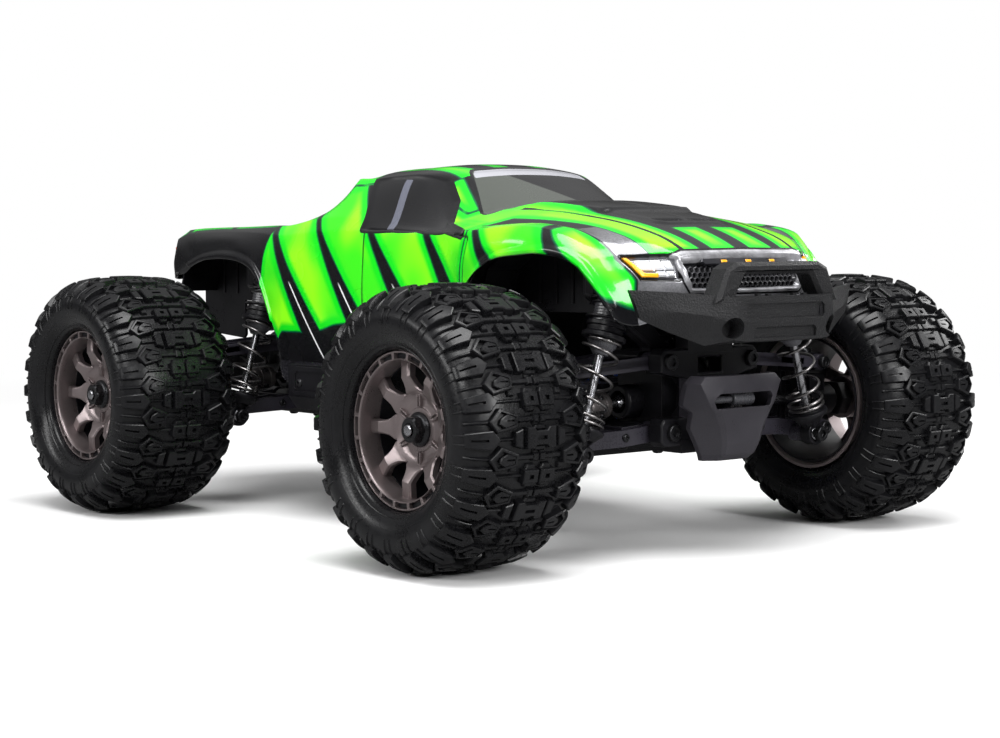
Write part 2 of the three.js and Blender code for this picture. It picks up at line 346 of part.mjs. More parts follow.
// ---------------------------------------------------------------- body shell
// Half cage of the outer surface, row by row from the tailgate to the nose. Each row runs from the
// centre line outwards: top centre, top edge, upper rail, sill, shoulder, upper side, lower side, bottom edge.
const SHELL = [
  [[-147, 0, 91], [-147, 30, 91], [-146.8, 38, 91], [-146, 43, 91.4], [-145, 46, 92], [-143.6, 48, 92.6], [-140.6, 49.7, 94.2], [-139.2, 49.9, 95.2]],
  [[-149, 0, 100], [-149, 30, 100], [-148.8, 38, 100], [-148, 43.3, 100], [-146.6, 46.3, 100], [-144, 48.3, 99.8], [-137.6, 50, 98.7], [-134.7, 50.1, 98.2]],
  [[-149, 0, 108.6], [-149, 30, 109.2], [-148.6, 38, 109.6], [-147.4, 43.3, 109.4], [-145.2, 46.4, 108], [-141.4, 48.5, 105.6], [-133, 50.3, 101.6], [-130, 50.3, 100.4]],
  [[-145.6, 0, 111.2], [-145.4, 31, 111.7], [-144.4, 38, 112.2], [-143, 43.2, 111.8], [-141, 46.4, 110], [-136.6, 48.7, 107], [-128, 50.5, 102.8], [-125, 50.5, 101.6]],
  [[-140, 0, 107], [-139.4, 32, 107.6], [-136.6, 38.4, 112.6], [-135.6, 43.4, 112.2], [-133.6, 46.8, 110.4], [-129, 49, 107.6], [-121.4, 50.8, 103.7], [-119, 50.8, 102.4]],
  [[-122, 0, 106], [-122, 33, 106.7], [-121, 38.8, 112.8], [-120, 43.8, 112.5], [-118.6, 47.1, 110.8], [-115.6, 49.4, 108.1], [-111, 51.1, 104.3], [-109.6, 51.1, 102.9]],
  [[-104, 0, 106], [-104, 33.4, 106.7], [-103.6, 39, 112.9], [-103, 44, 112.6], [-102.4, 47.5, 110.9], [-101.2, 49.8, 108.2], [-99.4, 51.5, 104.1], [-98.8, 51.5, 102.6]],
  [[-91, 0, 106], [-91, 33.6, 106.8], [-91, 39.2, 113.1], [-90.8, 44.4, 112.7], [-90.4, 47.9, 110.7], [-90, 50.2, 107.4], [-89, 51.8, 102.6], [-88.6, 51.8, 100.9]],
  [[-79, 0, 106], [-79, 33.8, 106.9], [-79.4, 39.5, 113.3], [-80, 44.8, 112.8], [-80.4, 48.4, 110.3], [-80.8, 50.7, 105.8], [-81, 52.1, 99.4], [-81, 52.1, 97.6]],
  [[-68, 0, 106], [-68, 34, 107.1], [-69.4, 39.8, 113.5], [-71, 45.3, 112.9], [-72.6, 48.9, 109.8], [-74, 51.2, 103.4], [-75.1, 52.4, 93.4], [-75.3, 52.4, 91]],
  [[-57, 0, 106], [-57, 34, 107.4], [-59, 40.1, 114.3], [-62, 45.9, 113.2], [-64.6, 49.4, 109.4], [-66.6, 51.8, 101.4], [-68, 52.8, 84.6], [-68.1, 52.7, 79.5]],
  [[-46, 0, 106.2], [-46.4, 33.2, 108.6], [-50, 39.8, 117.2], [-54.6, 46.7, 113.9], [-58, 50, 109.4], [-60.2, 52.3, 99.6], [-61.6, 53.1, 74], [-61.4, 52.8, 64.6]],
  [[-39.6, 0, 107.4], [-40, 32.4, 112.6], [-43.2, 39.2, 120.4], [-48.4, 47.6, 114.6], [-52.4, 50.6, 109.7], [-55.4, 52.8, 98.6], [-57.6, 53.4, 66.6], [-57.9, 52.6, 52.6]],
  [[-35, 0, 112], [-35, 32.4, 117.4], [-36.6, 38.7, 123.8], [-40.6, 48.5, 115.3], [-44, 51.2, 110.2], [-46, 53.2, 98.2], [-46.8, 53.8, 66.2], [-46.8, 52.7, 51]],
  [[-30, 0, 120.6], [-29.6, 32.8, 123.8], [-30, 38.5, 127], [-31.6, 49.2, 115.9], [-33.6, 51.7, 110.7], [-34.4, 53.6, 98.2], [-34.6, 54.1, 66.2], [-34.6, 52.9, 51]],
  [[-25, 0, 129.4], [-24.4, 33.2, 129.4], [-23, 38.7, 129.5], [-20.6, 50, 116.1], [-20.8, 52.3, 111], [-20.8, 54, 98.2], [-20.8, 54.4, 66.2], [-20.8, 53.1, 51]],
  [[-18.4, 0, 133.6], [-17.6, 33.4, 131.6], [-15.6, 39.2, 130.5], [-8, 50.5, 115.1], [-8, 52.8, 110.8], [-8, 54.4, 98.2], [-8, 54.7, 66.2], [-8, 53.3, 51]],
  [[0, 0, 135.4], [0, 33.4, 132.9], [0, 39.3, 131], [6, 50.6, 114.1], [6, 53.2, 110.4], [6, 54.7, 98.2], [6, 54.9, 66.2], [6, 53.4, 51]],
  [[18, 0, 135.6], [16, 32.4, 132.7], [14, 38.9, 130.3], [20, 50.6, 113], [20, 53.6, 110.1], [20, 55, 98.2], [20, 55.1, 66.2], [20, 53.5, 51]],
  [[31, 0, 133.5], [28.6, 29.8, 131.3], [22.6, 38.6, 126.6], [29.6, 50.6, 112.3], [31, 54.1, 109.9], [32, 55.4, 98.2], [32, 55.2, 66.2], [32, 53.5, 51]],
  [[44.4, 0, 126.6], [39.8, 31, 124.7], [31.4, 42, 119.6], [37.4, 50.9, 111.8], [41, 54.8, 109.8], [42.4, 56.1, 98.2], [42.6, 55.4, 66.2], [42.4, 53.6, 51]],
  [[57, 0, 119.8], [50.4, 32, 118.4], [40.6, 45.4, 113.3], [46, 51.6, 111.5], [50.6, 56, 109.9], [51, 57.2, 98.2], [49.6, 55.6, 66.2], [49, 53.7, 51.2]],
  [[66, 0, 119.4], [60.6, 33.2, 117.6], [53.6, 46.3, 112.5], [57.6, 52.7, 111.3], [61, 57.8, 110.1], [59.8, 59.2, 98.6], [55.6, 56.3, 68.4], [54, 54.1, 53.4]],
  [[77.6, 0, 118.8], [74, 34.6, 116.6], [69.4, 46.4, 112], [70, 53.8, 111.6], [71.4, 59.6, 110.4], [69.8, 61.7, 102.2], [65.6, 59.8, 83.6], [63.2, 57.8, 76]],
  [[88.4, 0, 117.8], [85.6, 35.8, 115.5], [81.4, 46.4, 111.9], [80.8, 54.6, 112.2], [81, 60.8, 111], [79.6, 63.2, 105], [76, 63.3, 97], [74, 62.9, 94.4]],
  [[100, 0, 116], [97.4, 36.2, 114.1], [93, 46.4, 111.8], [92.2, 55.2, 112.6], [92.2, 61.2, 111.6], [90.4, 63.7, 106.8], [87.2, 64.1, 101.8], [85.6, 63.7, 100.3]],
  [[112, 0, 113.8], [109.4, 36.2, 112.5], [105.4, 46.4, 111.2], [105, 55, 112.4], [105, 61, 111.4], [104, 63.7, 107.2], [102, 64.2, 103.3], [101, 63.8, 102.2]],
  [[123.6, 0, 111], [120.8, 36, 110.1], [118, 46.2, 109.4], [117.6, 54.5, 110.2], [118, 60.3, 109.1], [117.2, 63.3, 105.8], [116, 64, 103.2], [115, 63.7, 102.3]],
  [[133.8, 0, 107.6], [131.6, 35.4, 107], [129, 45.6, 106.4], [127.8, 53.2, 106.5], [127, 58.9, 105.5], [126, 62.3, 103.3], [125, 63.6, 101.5], [124.4, 63.3, 100.7]],
  [[141.6, 0, 104], [140.2, 31.4, 103], [137.6, 42.4, 102.4], [135.4, 50.4, 102], [133.2, 56.9, 101], [131.4, 60.6, 99.7], [130.2, 62.6, 98.5], [129.8, 62.4, 98]],
  [[144.6, 0, 96.2], [143.4, 31.2, 95.5], [141.5, 42, 95], [139.5, 49.4, 94.7], [137.2, 55.2, 94.2], [135.2, 58.8, 93.8], [134, 60.9, 93.3], [133.6, 60.8, 93]],
  [[144.2, 0, 89], [143.2, 30.8, 88.4], [142, 40.6, 88.1], [140.8, 47.2, 87.9], [139.4, 52.4, 87.7], [137.8, 56.2, 87.6], [136.6, 58.5, 87.6], [136.2, 58.5, 87.5]],
  [[142.6, 0, 84.8], [142, 30, 83.4], [141.7, 38.4, 81.4], [141.4, 44.4, 79.2], [140.8, 49.2, 78.8], [139.8, 52.8, 79.8], [138.8, 55.3, 81.2], [138.4, 55.5, 81.4]],
];
function shell(rows, t) {
  const full = rows.map((r) => [...r.slice(1).reverse().map(([x, y, z]) => [x, -y, z]), ...r]);
  const R = full.length, C = full[0].length, V = (i, j) => new THREE.Vector3(...full[i][j]);
  const outer = [], inner = [];
  for (let i = 0; i < R; i++) for (let j = 0; j < C; j++) {
    const du = V(Math.min(i + 1, R - 1), j).sub(V(Math.max(i - 1, 0), j)), dv = V(i, Math.min(j + 1, C - 1)).sub(V(i, Math.max(j - 1, 0)));
    const n = du.cross(dv).normalize();
    outer.push(V(i, j));
    inner.push(V(i, j).addScaledVector(n, -t));
  }
  const verts = [...outer, ...inner].flatMap((v) => v.toArray()), N = R * C, idx = [];
  const quad = (a, b, c, d) => idx.push(a, b, c, a, c, d);
  for (let i = 0; i < R - 1; i++) for (let j = 0; j < C - 1; j++) {
    const a = i * C + j, b = a + C, c = b + 1, d = a + 1;
    quad(a, b, c, d);
    quad(a + N, d + N, c + N, b + N);
  }
  for (let i = 0; i < R - 1; i++) {
    const a = i * C, b = a + C;
    quad(a, a + N, b + N, b);
    const c = a + C - 1, d = b + C - 1;
    quad(c, d, d + N, c + N);
  }
  for (let j = 0; j < C - 1; j++) {
    const a = j, b = j + 1;
    quad(a, b, b + N, a + N);
    const c = (R - 1) * C + j, d = c + 1;
    quad(c, c + N, d + N, d);
  }
  const make = (ix) => {
    const g = new THREE.BufferGeometry();
    g.setAttribute('position', new THREE.BufferAttribute(new Float32Array(verts), 3));
    g.setIndex(ix);
    return solid(g);
  };
  let s = make(idx);
  if (s.volume() < 0) {
    const flip = [];
    for (let i = 0; i < idx.length; i += 3) flip.push(idx[i], idx[i + 2], idx[i + 1]);
    s = make(flip);
  }
  return s;
}
add('body_shell', shell(SHELL, SHELL_T), 'shell');

export default root;
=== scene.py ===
# Four-wheel-drive monster truck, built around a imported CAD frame.
# The nose points to +x, the left side to +y and up is +z; the floor is z = 0.
# Builders work in millimetres in the CAD frame and meshes are scaled to metres.
import math
import json
import bpy
import bmesh
import numpy as np
from mathutils import Vector, Matrix
from mathutils.geometry import tessellate_polygon

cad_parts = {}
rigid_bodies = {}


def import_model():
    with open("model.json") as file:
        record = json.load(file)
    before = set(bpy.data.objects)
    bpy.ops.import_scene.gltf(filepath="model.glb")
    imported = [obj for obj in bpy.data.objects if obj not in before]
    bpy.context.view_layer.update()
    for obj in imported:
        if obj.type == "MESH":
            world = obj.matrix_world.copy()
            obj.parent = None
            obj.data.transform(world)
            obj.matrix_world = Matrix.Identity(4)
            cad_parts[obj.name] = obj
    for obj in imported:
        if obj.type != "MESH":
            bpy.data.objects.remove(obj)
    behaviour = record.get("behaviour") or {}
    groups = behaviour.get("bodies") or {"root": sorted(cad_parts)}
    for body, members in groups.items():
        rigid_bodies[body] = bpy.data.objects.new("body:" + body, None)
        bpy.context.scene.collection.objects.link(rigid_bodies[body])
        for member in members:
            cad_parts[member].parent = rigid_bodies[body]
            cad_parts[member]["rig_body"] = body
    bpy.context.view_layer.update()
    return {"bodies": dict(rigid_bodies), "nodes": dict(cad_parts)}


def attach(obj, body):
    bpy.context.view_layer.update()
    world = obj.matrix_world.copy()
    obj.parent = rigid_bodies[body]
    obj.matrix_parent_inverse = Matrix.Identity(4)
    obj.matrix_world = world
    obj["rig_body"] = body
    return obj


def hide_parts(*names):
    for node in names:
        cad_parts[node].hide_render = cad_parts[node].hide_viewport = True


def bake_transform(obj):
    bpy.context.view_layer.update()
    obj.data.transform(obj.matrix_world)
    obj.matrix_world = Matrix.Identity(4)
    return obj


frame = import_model()

MM = 0.001
PI = math.pi
AXLE_X = 104.0      # axles in front of and behind the origin
TRACK_Y = 96.5      # wheel centre from the centre plane
WHEEL_Z = 46.7      # wheel centre height and rolling radius
ENDS = (("front", AXLE_X), ("rear", -AXLE_X))
SIDES = (("left", 1), ("right", -1))


# ---------------------------------------------------------------- node helpers
class Nodes:
    """Short ways to add nodes to a shader tree."""
    def __init__(self, tree):
        self.tree = tree

    def node(self, kind, **settings):
        node = self.tree.nodes.new("ShaderNode" + kind)
        for key, value in settings.items():
            setattr(node, key, value)
        return node

    def link(self, source, target):
        self.tree.links.new(source, target)

    def put(self, socket, value):
        """Links a socket, or sets a plain value or colour."""
        if isinstance(value, bpy.types.NodeSocket):
            self.link(value, socket)
        elif socket.type == "RGBA":
            socket.default_value = (*value[:3], 1)
        else:
            socket.default_value = value

    def ramp(self, value, start, end, low=0, high=1, smooth=False):
        """Value going from low at start to high at end."""
        node = self.node("MapRange", interpolation_type="SMOOTHSTEP" if smooth else "LINEAR")
        for i, item in enumerate((value, start, end, low, high)):
            self.put(node.inputs[i], item)
        return node.outputs[0]


class Material(Nodes):
    """Principled material whose textures lie in object space."""
    def __init__(self, name):
        self.material = bpy.data.materials.new(name)
        self.material.use_nodes = True
        super().__init__(self.material.node_tree)
        self.tree.nodes.clear()
        self.output = self.node("OutputMaterial")
        self.shader = self.node("BsdfPrincipled")
        self.link(self.shader.outputs[0], self.output.inputs[0])
        self.coords = self.node("TexCoord").outputs["Object"]

    def set(self, **values):
        for key, value in values.items():
            self.put(self.shader.inputs[key.replace("_", " ")], value)

    def calc(self, operation, first, second=0.0, clamp=False):
        node = self.node("Math", operation=operation, use_clamp=clamp)
        for i, value in enumerate((first, second, 0.0)):
            self.put(node.inputs[i], value)
        return node.outputs[0]

    def times(self, first, second):
        return self.calc("MULTIPLY", first, second)

    def noise(self, size, detail=3.0, rough=0.5, coords=None):
        """Noise with features about size millimetres across."""
        node = self.node("TexNoise")
        self.link(coords or self.coords, node.inputs["Vector"])
        node.inputs["Scale"].default_value = 1 / (size * MM)
        node.inputs["Detail"].default_value = detail
        node.inputs["Roughness"].default_value = rough
        return node.outputs["Fac"]

    def mix(self, factor, first, second):
        node = self.node("Mix", data_type="RGBA", blend_type="MIX")
        self.put(node.inputs[0], factor)
        self.put(node.inputs[6], first)
        self.put(node.inputs[7], second)
        return node.outputs[2]

    def bump(self, height, depth, normal=None):
        """Bump of depth millimetres."""
        node = self.node("Bump")
        node.inputs["Strength"].default_value = 1.0
        node.inputs["Distance"].default_value = depth * MM
        self.link(height, node.inputs["Height"])
        if normal is not None:
            self.link(normal, node.inputs["Normal"])
        return node.outputs[0]


def moulded(name, colour, rough, grain=0.5, depth=0.03, metal=0.0, coat=0.0, vary=0.18,
            spec=0.5, scratch=0.0):
    """Broad colour variation with a fine grain; grain and depth are millimetres."""
    mat = Material(name)
    ramp, calc = mat.ramp, mat.calc
    broad = mat.noise(14, detail=2)
    fine = mat.noise(grain, detail=2, rough=0.55)
    dark = [c * (1 - vary) for c in colour]
    light = [min(1, c * (1 + vary)) for c in colour]
    base = mat.mix(ramp(broad, 0.3, 0.7), dark, light)
    speck = mat.times(ramp(fine, 0.35, 0.75), 0.22)
    base = mat.mix(speck, base, [min(1, c * 1.5 + 0.006) for c in colour])
    roughness = calc("ADD", ramp(broad, 0.3, 0.7, low=rough - 0.07, high=rough + 0.07),
                     ramp(fine, 0.3, 0.7, low=-0.05, high=0.05), clamp=True)
    normal = mat.bump(fine, depth)
    if scratch:
        stretch = mat.node("Mapping")
        stretch.inputs["Scale"].default_value = (1, 6, 40)
        mat.link(mat.coords, stretch.inputs["Vector"])
        lines = mat.noise(9, detail=6, rough=0.7, coords=stretch.outputs[0])
        roughness = calc("ADD", roughness, ramp(lines, 0.45, 0.7, low=-scratch, high=scratch),
                         clamp=True)
        normal = mat.bump(lines, depth * 0.6, normal)
    mat.set(Base_Color=base, Roughness=roughness, Metallic=metal, Normal=normal,
            Specular_IOR_Level=spec)
    if coat:
        mat.set(Coat_Weight=coat, Coat_Roughness=0.12)
    return mat.material


PLASTIC = moulded("plastic_black", (0.0060, 0.0058, 0.0072), rough=0.36, grain=0.55,
                  depth=0.022, spec=0.20)
ARM_PLASTIC = moulded("plastic_arm", (0.019, 0.0175, 0.0235), rough=0.33, depth=0.018, spec=0.30)
TEXTURED = moulded("plastic_textured", (0.0100, 0.0100, 0.0108), rough=0.42, grain=0.62,
                   depth=0.30, spec=0.20, vary=0.12)
SKID_PLASTIC = moulded("plastic_skid", (0.021, 0.0195, 0.024), rough=0.38, grain=0.45,
                       depth=0.04, spec=0.24)
RUBBER = moulded("rubber_tyre", (0.0038, 0.0038, 0.0045), rough=0.30, grain=0.8, spec=0.26,
                 vary=0.25)
BRONZE = moulded("rim_satin_bronze", (0.205, 0.172, 0.172), rough=0.36, grain=0.35,
                 depth=0.010, metal=0.80, vary=0.10)
STEEL = moulded("steel_bright", (0.36, 0.36, 0.38), rough=0.26, grain=0.3, depth=0.004,
                metal=1.0, vary=0.08)
SPRING_STEEL = moulded("steel_spring", (0.23, 0.22, 0.22), rough=0.30, grain=0.3,
                       depth=0.004, metal=1.0, vary=0.10)
DARK_METAL = moulded("metal_black", (0.018, 0.018, 0.022), rough=0.34, grain=0.3,
                     depth=0.006, metal=0.55, vary=0.15)
SCREW = moulded("screw_black_oxide", (0.022, 0.022, 0.024), rough=0.30, grain=0.25,
                depth=0.006, metal=0.75, vary=0.2)
SHOCK_GREY = moulded("shock_body_moulded", (0.050, 0.050, 0.056), rough=0.30, grain=0.35,
                     depth=0.008, vary=0.15, spec=0.6)
CUP_METAL = moulded("drive_cup_metal", (0.105, 0.095, 0.095), rough=0.42, grain=0.4,
                    depth=0.02, metal=0.75, vary=0.25, scratch=0.08)
BATTERY = moulded("battery_shrink_wrap", (0.010, 0.035, 0.16), rough=0.22, grain=3.0,
                  depth=0.05, coat=0.5, vary=0.2)
BAND_GREY = moulded("battery_band", (0.30, 0.31, 0.33), rough=0.32, grain=2.0, depth=0.01,
                    coat=0.4, vary=0.06)
MOTOR = moulded("motor_can_anodised", (0.055, 0.055, 0.062), rough=0.28, grain=0.3,
                depth=0.006, metal=0.85, scratch=0.06)
BRASS = moulded("brass_machined", (0.52, 0.36, 0.12), rough=0.30, grain=0.25, depth=0.004,
                metal=1.0, scratch=0.06)
GEAR = moulded("gear_moulded", (0.040, 0.040, 0.042), rough=0.40, grain=0.4, depth=0.01)
RED_WIRE = moulded("wire_red", (0.42, 0.012, 0.010), rough=0.36, grain=1.0, depth=0.01, coat=0.3)
BLACK_WIRE = moulded("wire_black", (0.016, 0.016, 0.016), rough=0.36, grain=1.0, depth=0.01,
                     coat=0.3)
CASE = moulded("electronics_case", (0.05, 0.05, 0.055), rough=0.38, grain=0.4, depth=0.02)
CONNECTOR = moulded("connector_blue", (0.02, 0.07, 0.30), rough=0.36, depth=0.01)


# ---------------------------------------------------------------- mesh kit
def pts(text):
    """List of points from text such as "1,2 3,4"."""
    return [tuple(map(float, point.split(","))) for point in text.split()]


def flipped(outline):
    """Outline mirrored in its first coordinate, keeping its winding."""
    return [(-a, b) for a, b in outline][::-1]


def to_side(outline, side):
    return outline if side > 0 else flipped(outline)


def lookup(value, table):
    return float(np.interp(value, *zip(*table)))


def inset(outline, distance):
    """Outline moved inwards (outwards when negative) with mitred corners, either winding."""
    pos = np.array(outline, float)
    area = 0.5 * np.sum(pos[:, 0] * np.roll(pos[:, 1], -1) - np.roll(pos[:, 0], -1) * pos[:, 1])
    sign = 1 if area > 0 else -1
    out = []
    for i in range(len(pos)):
        here, after = pos[i], pos[(i + 1) % len(pos)]
        normals = []
        for edge in (here - pos[i - 1], after - here):
            edge = edge / (np.linalg.norm(edge) + 1e-9)
            normals.append(np.array([-edge[1], edge[0]]) * sign)
        mitre = normals[0] + normals[1]
        stretch = max(0.35, float(mitre @ normals[0]))
        out.append(tuple(here + mitre * distance / stretch))
    return out


def basis(axis):
    """Two unit vectors across an axis, and the unit axis."""
    axis = np.array(axis, float) / np.linalg.norm(axis)
    helper = np.array([0, 0, 1.0]) if abs(axis[2]) < 0.8 else np.array([1.0, 0, 0])
    x = np.cross(helper, axis)
    x /= np.linalg.norm(x)
    return x, np.cross(axis, x), axis


def hex_radius(radius, angle):
    """Distance to a hexagon's edge at an angle, for a given corner radius."""
    return radius * math.cos(PI / 6) / math.cos(angle % (PI / 3) - PI / 6)


def around_axle(radius, y, angle, across=0.0):
    """Point round the y axis, stepped across its radial line."""
    cos, sin = math.cos(angle), math.sin(angle)
    return (radius * cos - across * sin, y, radius * sin + across * cos)


def outward(mesh, flip_down=False):
    """Recalculates face normals; flip_down turns an open mesh whose top faces down."""
    work = bmesh.new()
    work.from_mesh(mesh)
    bmesh.ops.recalc_face_normals(work, faces=work.faces)
    if flip_down:
        top = max(work.faces, key=lambda face: face.calc_center_median().z)
        if top.normal.z < 0:
            bmesh.ops.reverse_faces(work, faces=work.faces)
    work.to_mesh(mesh)
    work.free()


def place_object(name, data):
    item = bpy.data.objects.new(name, data)
    bpy.context.scene.collection.objects.link(item)
    return item


def smooth_shading(mesh):
    mesh.polygons.foreach_set("use_smooth", [True] * len(mesh.polygons))


def bevel_edges(item, width, segments, angle):
    bevel = item.modifiers.new("edges", "BEVEL")
    bevel.width = width * MM
    bevel.segments = segments
    bevel.limit_method = "ANGLE"
    bevel.angle_limit = math.radians(angle)
    bevel.use_clamp_overlap = True


class Kit:
    """Vertices, faces and a material slot per face, gathered from simple solids."""
    def __init__(self):
        self.verts, self.faces, self.slots = [], [], []

    def add(self, verts, faces, slot=0):
        first = len(self.verts)
        self.verts += [tuple(map(float, v)) for v in verts]
        self.faces += [tuple(i + first for i in face) for face in faces]
        self.slots += [slot] * len(faces)
        return self

    def merge(self, other, move=tuple):
        first = len(self.verts)
        self.verts += [tuple(move(v)) for v in other.verts]
        self.faces += [tuple(i + first for i in face) for face in other.faces]
        self.slots += other.slots
        return self

    def box(self, x0, x1, y0, y1, z0, z1):
        verts = [(x, y, z) for z in (z0, z1) for y in (y0, y1) for x in (x0, x1)]
        return self.add(verts, [(0, 2, 3, 1), (4, 5, 7, 6), (0, 1, 5, 4), (2, 6, 7, 3),
                                (0, 4, 6, 2), (1, 3, 7, 5)])

    def rings(self, rings, slot=0, wrap=False):
        """Skin over a run of rings, capped at both ends or closed on itself."""
        n, count = len(rings[0]), len(rings)
        faces = []
        for k in range(count if wrap else count - 1):
            here, after = k * n, ((k + 1) % count) * n
            for i in range(n):
                j = (i + 1) % n
                faces.append((here + i, here + j, after + j, after + i))
        if not wrap:
            faces += [tuple(range(n))[::-1], tuple((count - 1) * n + i for i in range(n))]
        return self.add([p for ring in rings for p in ring], faces, slot)

    def prism(self, axis, low, high, outline, holes=(), slot=0, top=None):
        """Outline extruded along an axis; top is a chamfer (inset, height) at the high end."""
        put = {"x": lambda p, h: (h, p[0], p[1]), "y": lambda p, h: (p[0], h, p[1]),
               "z": lambda p, h: (p[0], p[1], h)}[axis]
        loops = [list(outline)] + [list(hole) for hole in holes]
        levels = [(low, 0), (high, 0)]
        if top:
            levels = [(low, 0), (high - top[1], 0), (high, top[0])]
        verts, faces, rows = [], [], []
        for height, step in levels:
            row = []
            for i, loop in enumerate(loops):
                if step:
                    loop = inset(loop, -step if i else step)
                row.append(list(range(len(verts), len(verts) + len(loop))))
                verts += [put(p, height) for p in loop]
            rows.append(row)
        for lower, upper in zip(rows[:-1], rows[1:]):
            for below, above in zip(lower, upper):
                n = len(below)
                faces += [(below[i], below[(i + 1) % n], above[(i + 1) % n], above[i])
                          for i in range(n)]
        for row, turn in ((rows[0], -1), (rows[-1], 1)):
            if len(loops) == 1:
                faces.append(tuple(row[0][::turn]))
            else:
                flat = [i for loop in row for i in loop]
                tris = tessellate_polygon([[Vector((*p, 0)) for p in loop] for loop in loops])
                faces += [tuple(flat[i] for i in tri[::turn]) for tri in tris]
        return self.add(verts, faces, slot)

    def lathe(self, profile, centre=(0, 0, 0), axis=(0, 1, 0), n=48, slot=0, closed=False):
        """Profile of (radius, distance along the axis), turned."""
        x, y, z = basis(axis)
        centre = np.array(centre, float)
        verts, faces = [], []
        size = len(profile)
        for k in range(n):
            angle = 2 * PI * k / n
            radial = x * math.cos(angle) + y * math.sin(angle)
            verts += [tuple(centre + radial * r + z * h) for r, h in profile]
            after = (k + 1) % n
            for i in range(size if closed else size - 1):
                j = (i + 1) % size
                faces.append((k * size + i, after * size + i, after * size + j, k * size + j))
        if not closed:
            for i, turn in ((0, 1), (size - 1, -1)):
                if profile[i][0] > 1e-6:
                    faces.append(tuple(k * size + i for k in range(n))[::turn])
        return self.add(verts, faces, slot)

    def cyl(self, start, end, radius, n=32, end_radius=None, slot=0, chamfer=0.0):
        start, end = np.array(start, float), np.array(end, float)
        length = np.linalg.norm(end - start)
        end_radius = end_radius or radius
        profile = [(radius, chamfer), (end_radius, length - chamfer)]
        if chamfer:
            profile = [(radius - chamfer, 0), *profile, (end_radius - chamfer, length)]
        return self.lathe(profile, start, end - start, n, slot)

    def pipe(self, start, end, outer, inner, n=40, slot=0, chamfer=0.15):
        start, end = np.array(start, float), np.array(end, float)
        length = np.linalg.norm(end - start)
        profile = [(inner, 0), (outer - chamfer, 0), (outer, chamfer), (outer, length - chamfer),
                   (outer - chamfer, length), (inner, length)]
        return self.lathe(profile, start, end - start, n, slot, closed=True)

    def tube(self, path, radius, n=10, closed=False):
        """Round tube swept along a path without twisting."""
        pos = np.array(path, float)
        count = len(pos)
        if closed:
            tangents = np.roll(pos, -1, axis=0) - np.roll(pos, 1, axis=0)
        else:
            tangents = np.array([pos[min(i + 1, count - 1)] - pos[max(i - 1, 0)]
                                 for i in range(count)])
        tangents /= np.linalg.norm(tangents, axis=1)[:, None]
        x = basis(tangents[0])[0]
        rings = []
        for centre, tangent in zip(pos, tangents):
            x = x - tangent * (x @ tangent)
            x /= np.linalg.norm(x)
            y = np.cross(tangent, x)
            angles = [2 * PI * k / n for k in range(n)]
            rings.append([tuple(centre + radius * (x * math.cos(a) + y * math.sin(a)))
                          for a in angles])
        return self.rings(rings, wrap=closed)

    def screw(self, seat, axis, r=2.6, slot=0, height=None):
        """Button head with a round recess."""
        h = height or r * 0.62
        profile = [(r * 0.96, -0.3), (r, 0.12 * h), (r * 0.97, 0.45 * h), (r * 0.82, 0.82 * h),
                   (r * 0.60, h), (r * 0.46, h), (r * 0.46, h * 0.35), (0.001, h * 0.25)]
        return self.lathe(profile, seat, axis, 30, slot)

    def cap_screw(self, seat, axis, r, length, slot=0):
        """Knurled drum head with a hexagon recess."""
        x, y, z = basis(axis)
        seat = np.array(seat, float)

        def ring(radius, height, hexagon=False, knurl=0.0):
            out = []
            for k in range(36):
                a = 2 * PI * k / 36
                reach = hex_radius(radius, a) if hexagon else radius
                reach -= knurl * (k % 2)
                out.append(tuple(seat + (x * math.cos(a) + y * math.sin(a)) * reach + z * height))
            return out
        return self.rings([
            ring(r, 0, knurl=0.08), ring(r, length - 0.3, knurl=0.08), ring(r - 0.3, length),
            ring(r * 0.58, length, True), ring(r * 0.55, length * 0.45, True),
            ring(0.01, length * 0.4)], slot)

    def mesh(self, name, mats=()):
        mesh = bpy.data.meshes.new(name)
        mesh.from_pydata([(x * MM, y * MM, z * MM) for x, y, z in self.verts], [], self.faces)
        for mat in mats:
            mesh.materials.append(mat)
        mesh.polygons.foreach_set("material_index", self.slots)
        outward(mesh)
        return mesh

    def obj(self, name, body, mats, look, cad=None, bevel=0.0, segments=2, angle=34, place=None):
        """Object riding a frame body; cad is the piece it replaces, and look is not used."""
        mesh = self.mesh(name, mats if isinstance(mats, list) else [mats])
        smooth_shading(mesh)
        mesh.set_sharp_from_angle(angle=math.radians(angle))
        item = place_object(name, mesh)
        if place is not None:
            item.matrix_world = place
        if bevel:
            bevel_edges(item, bevel, segments, angle)
            item.modifiers.new("normals", "WEIGHTED_NORMAL").keep_sharp = True
        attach(item, body)
        if cad:
            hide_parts(cad)


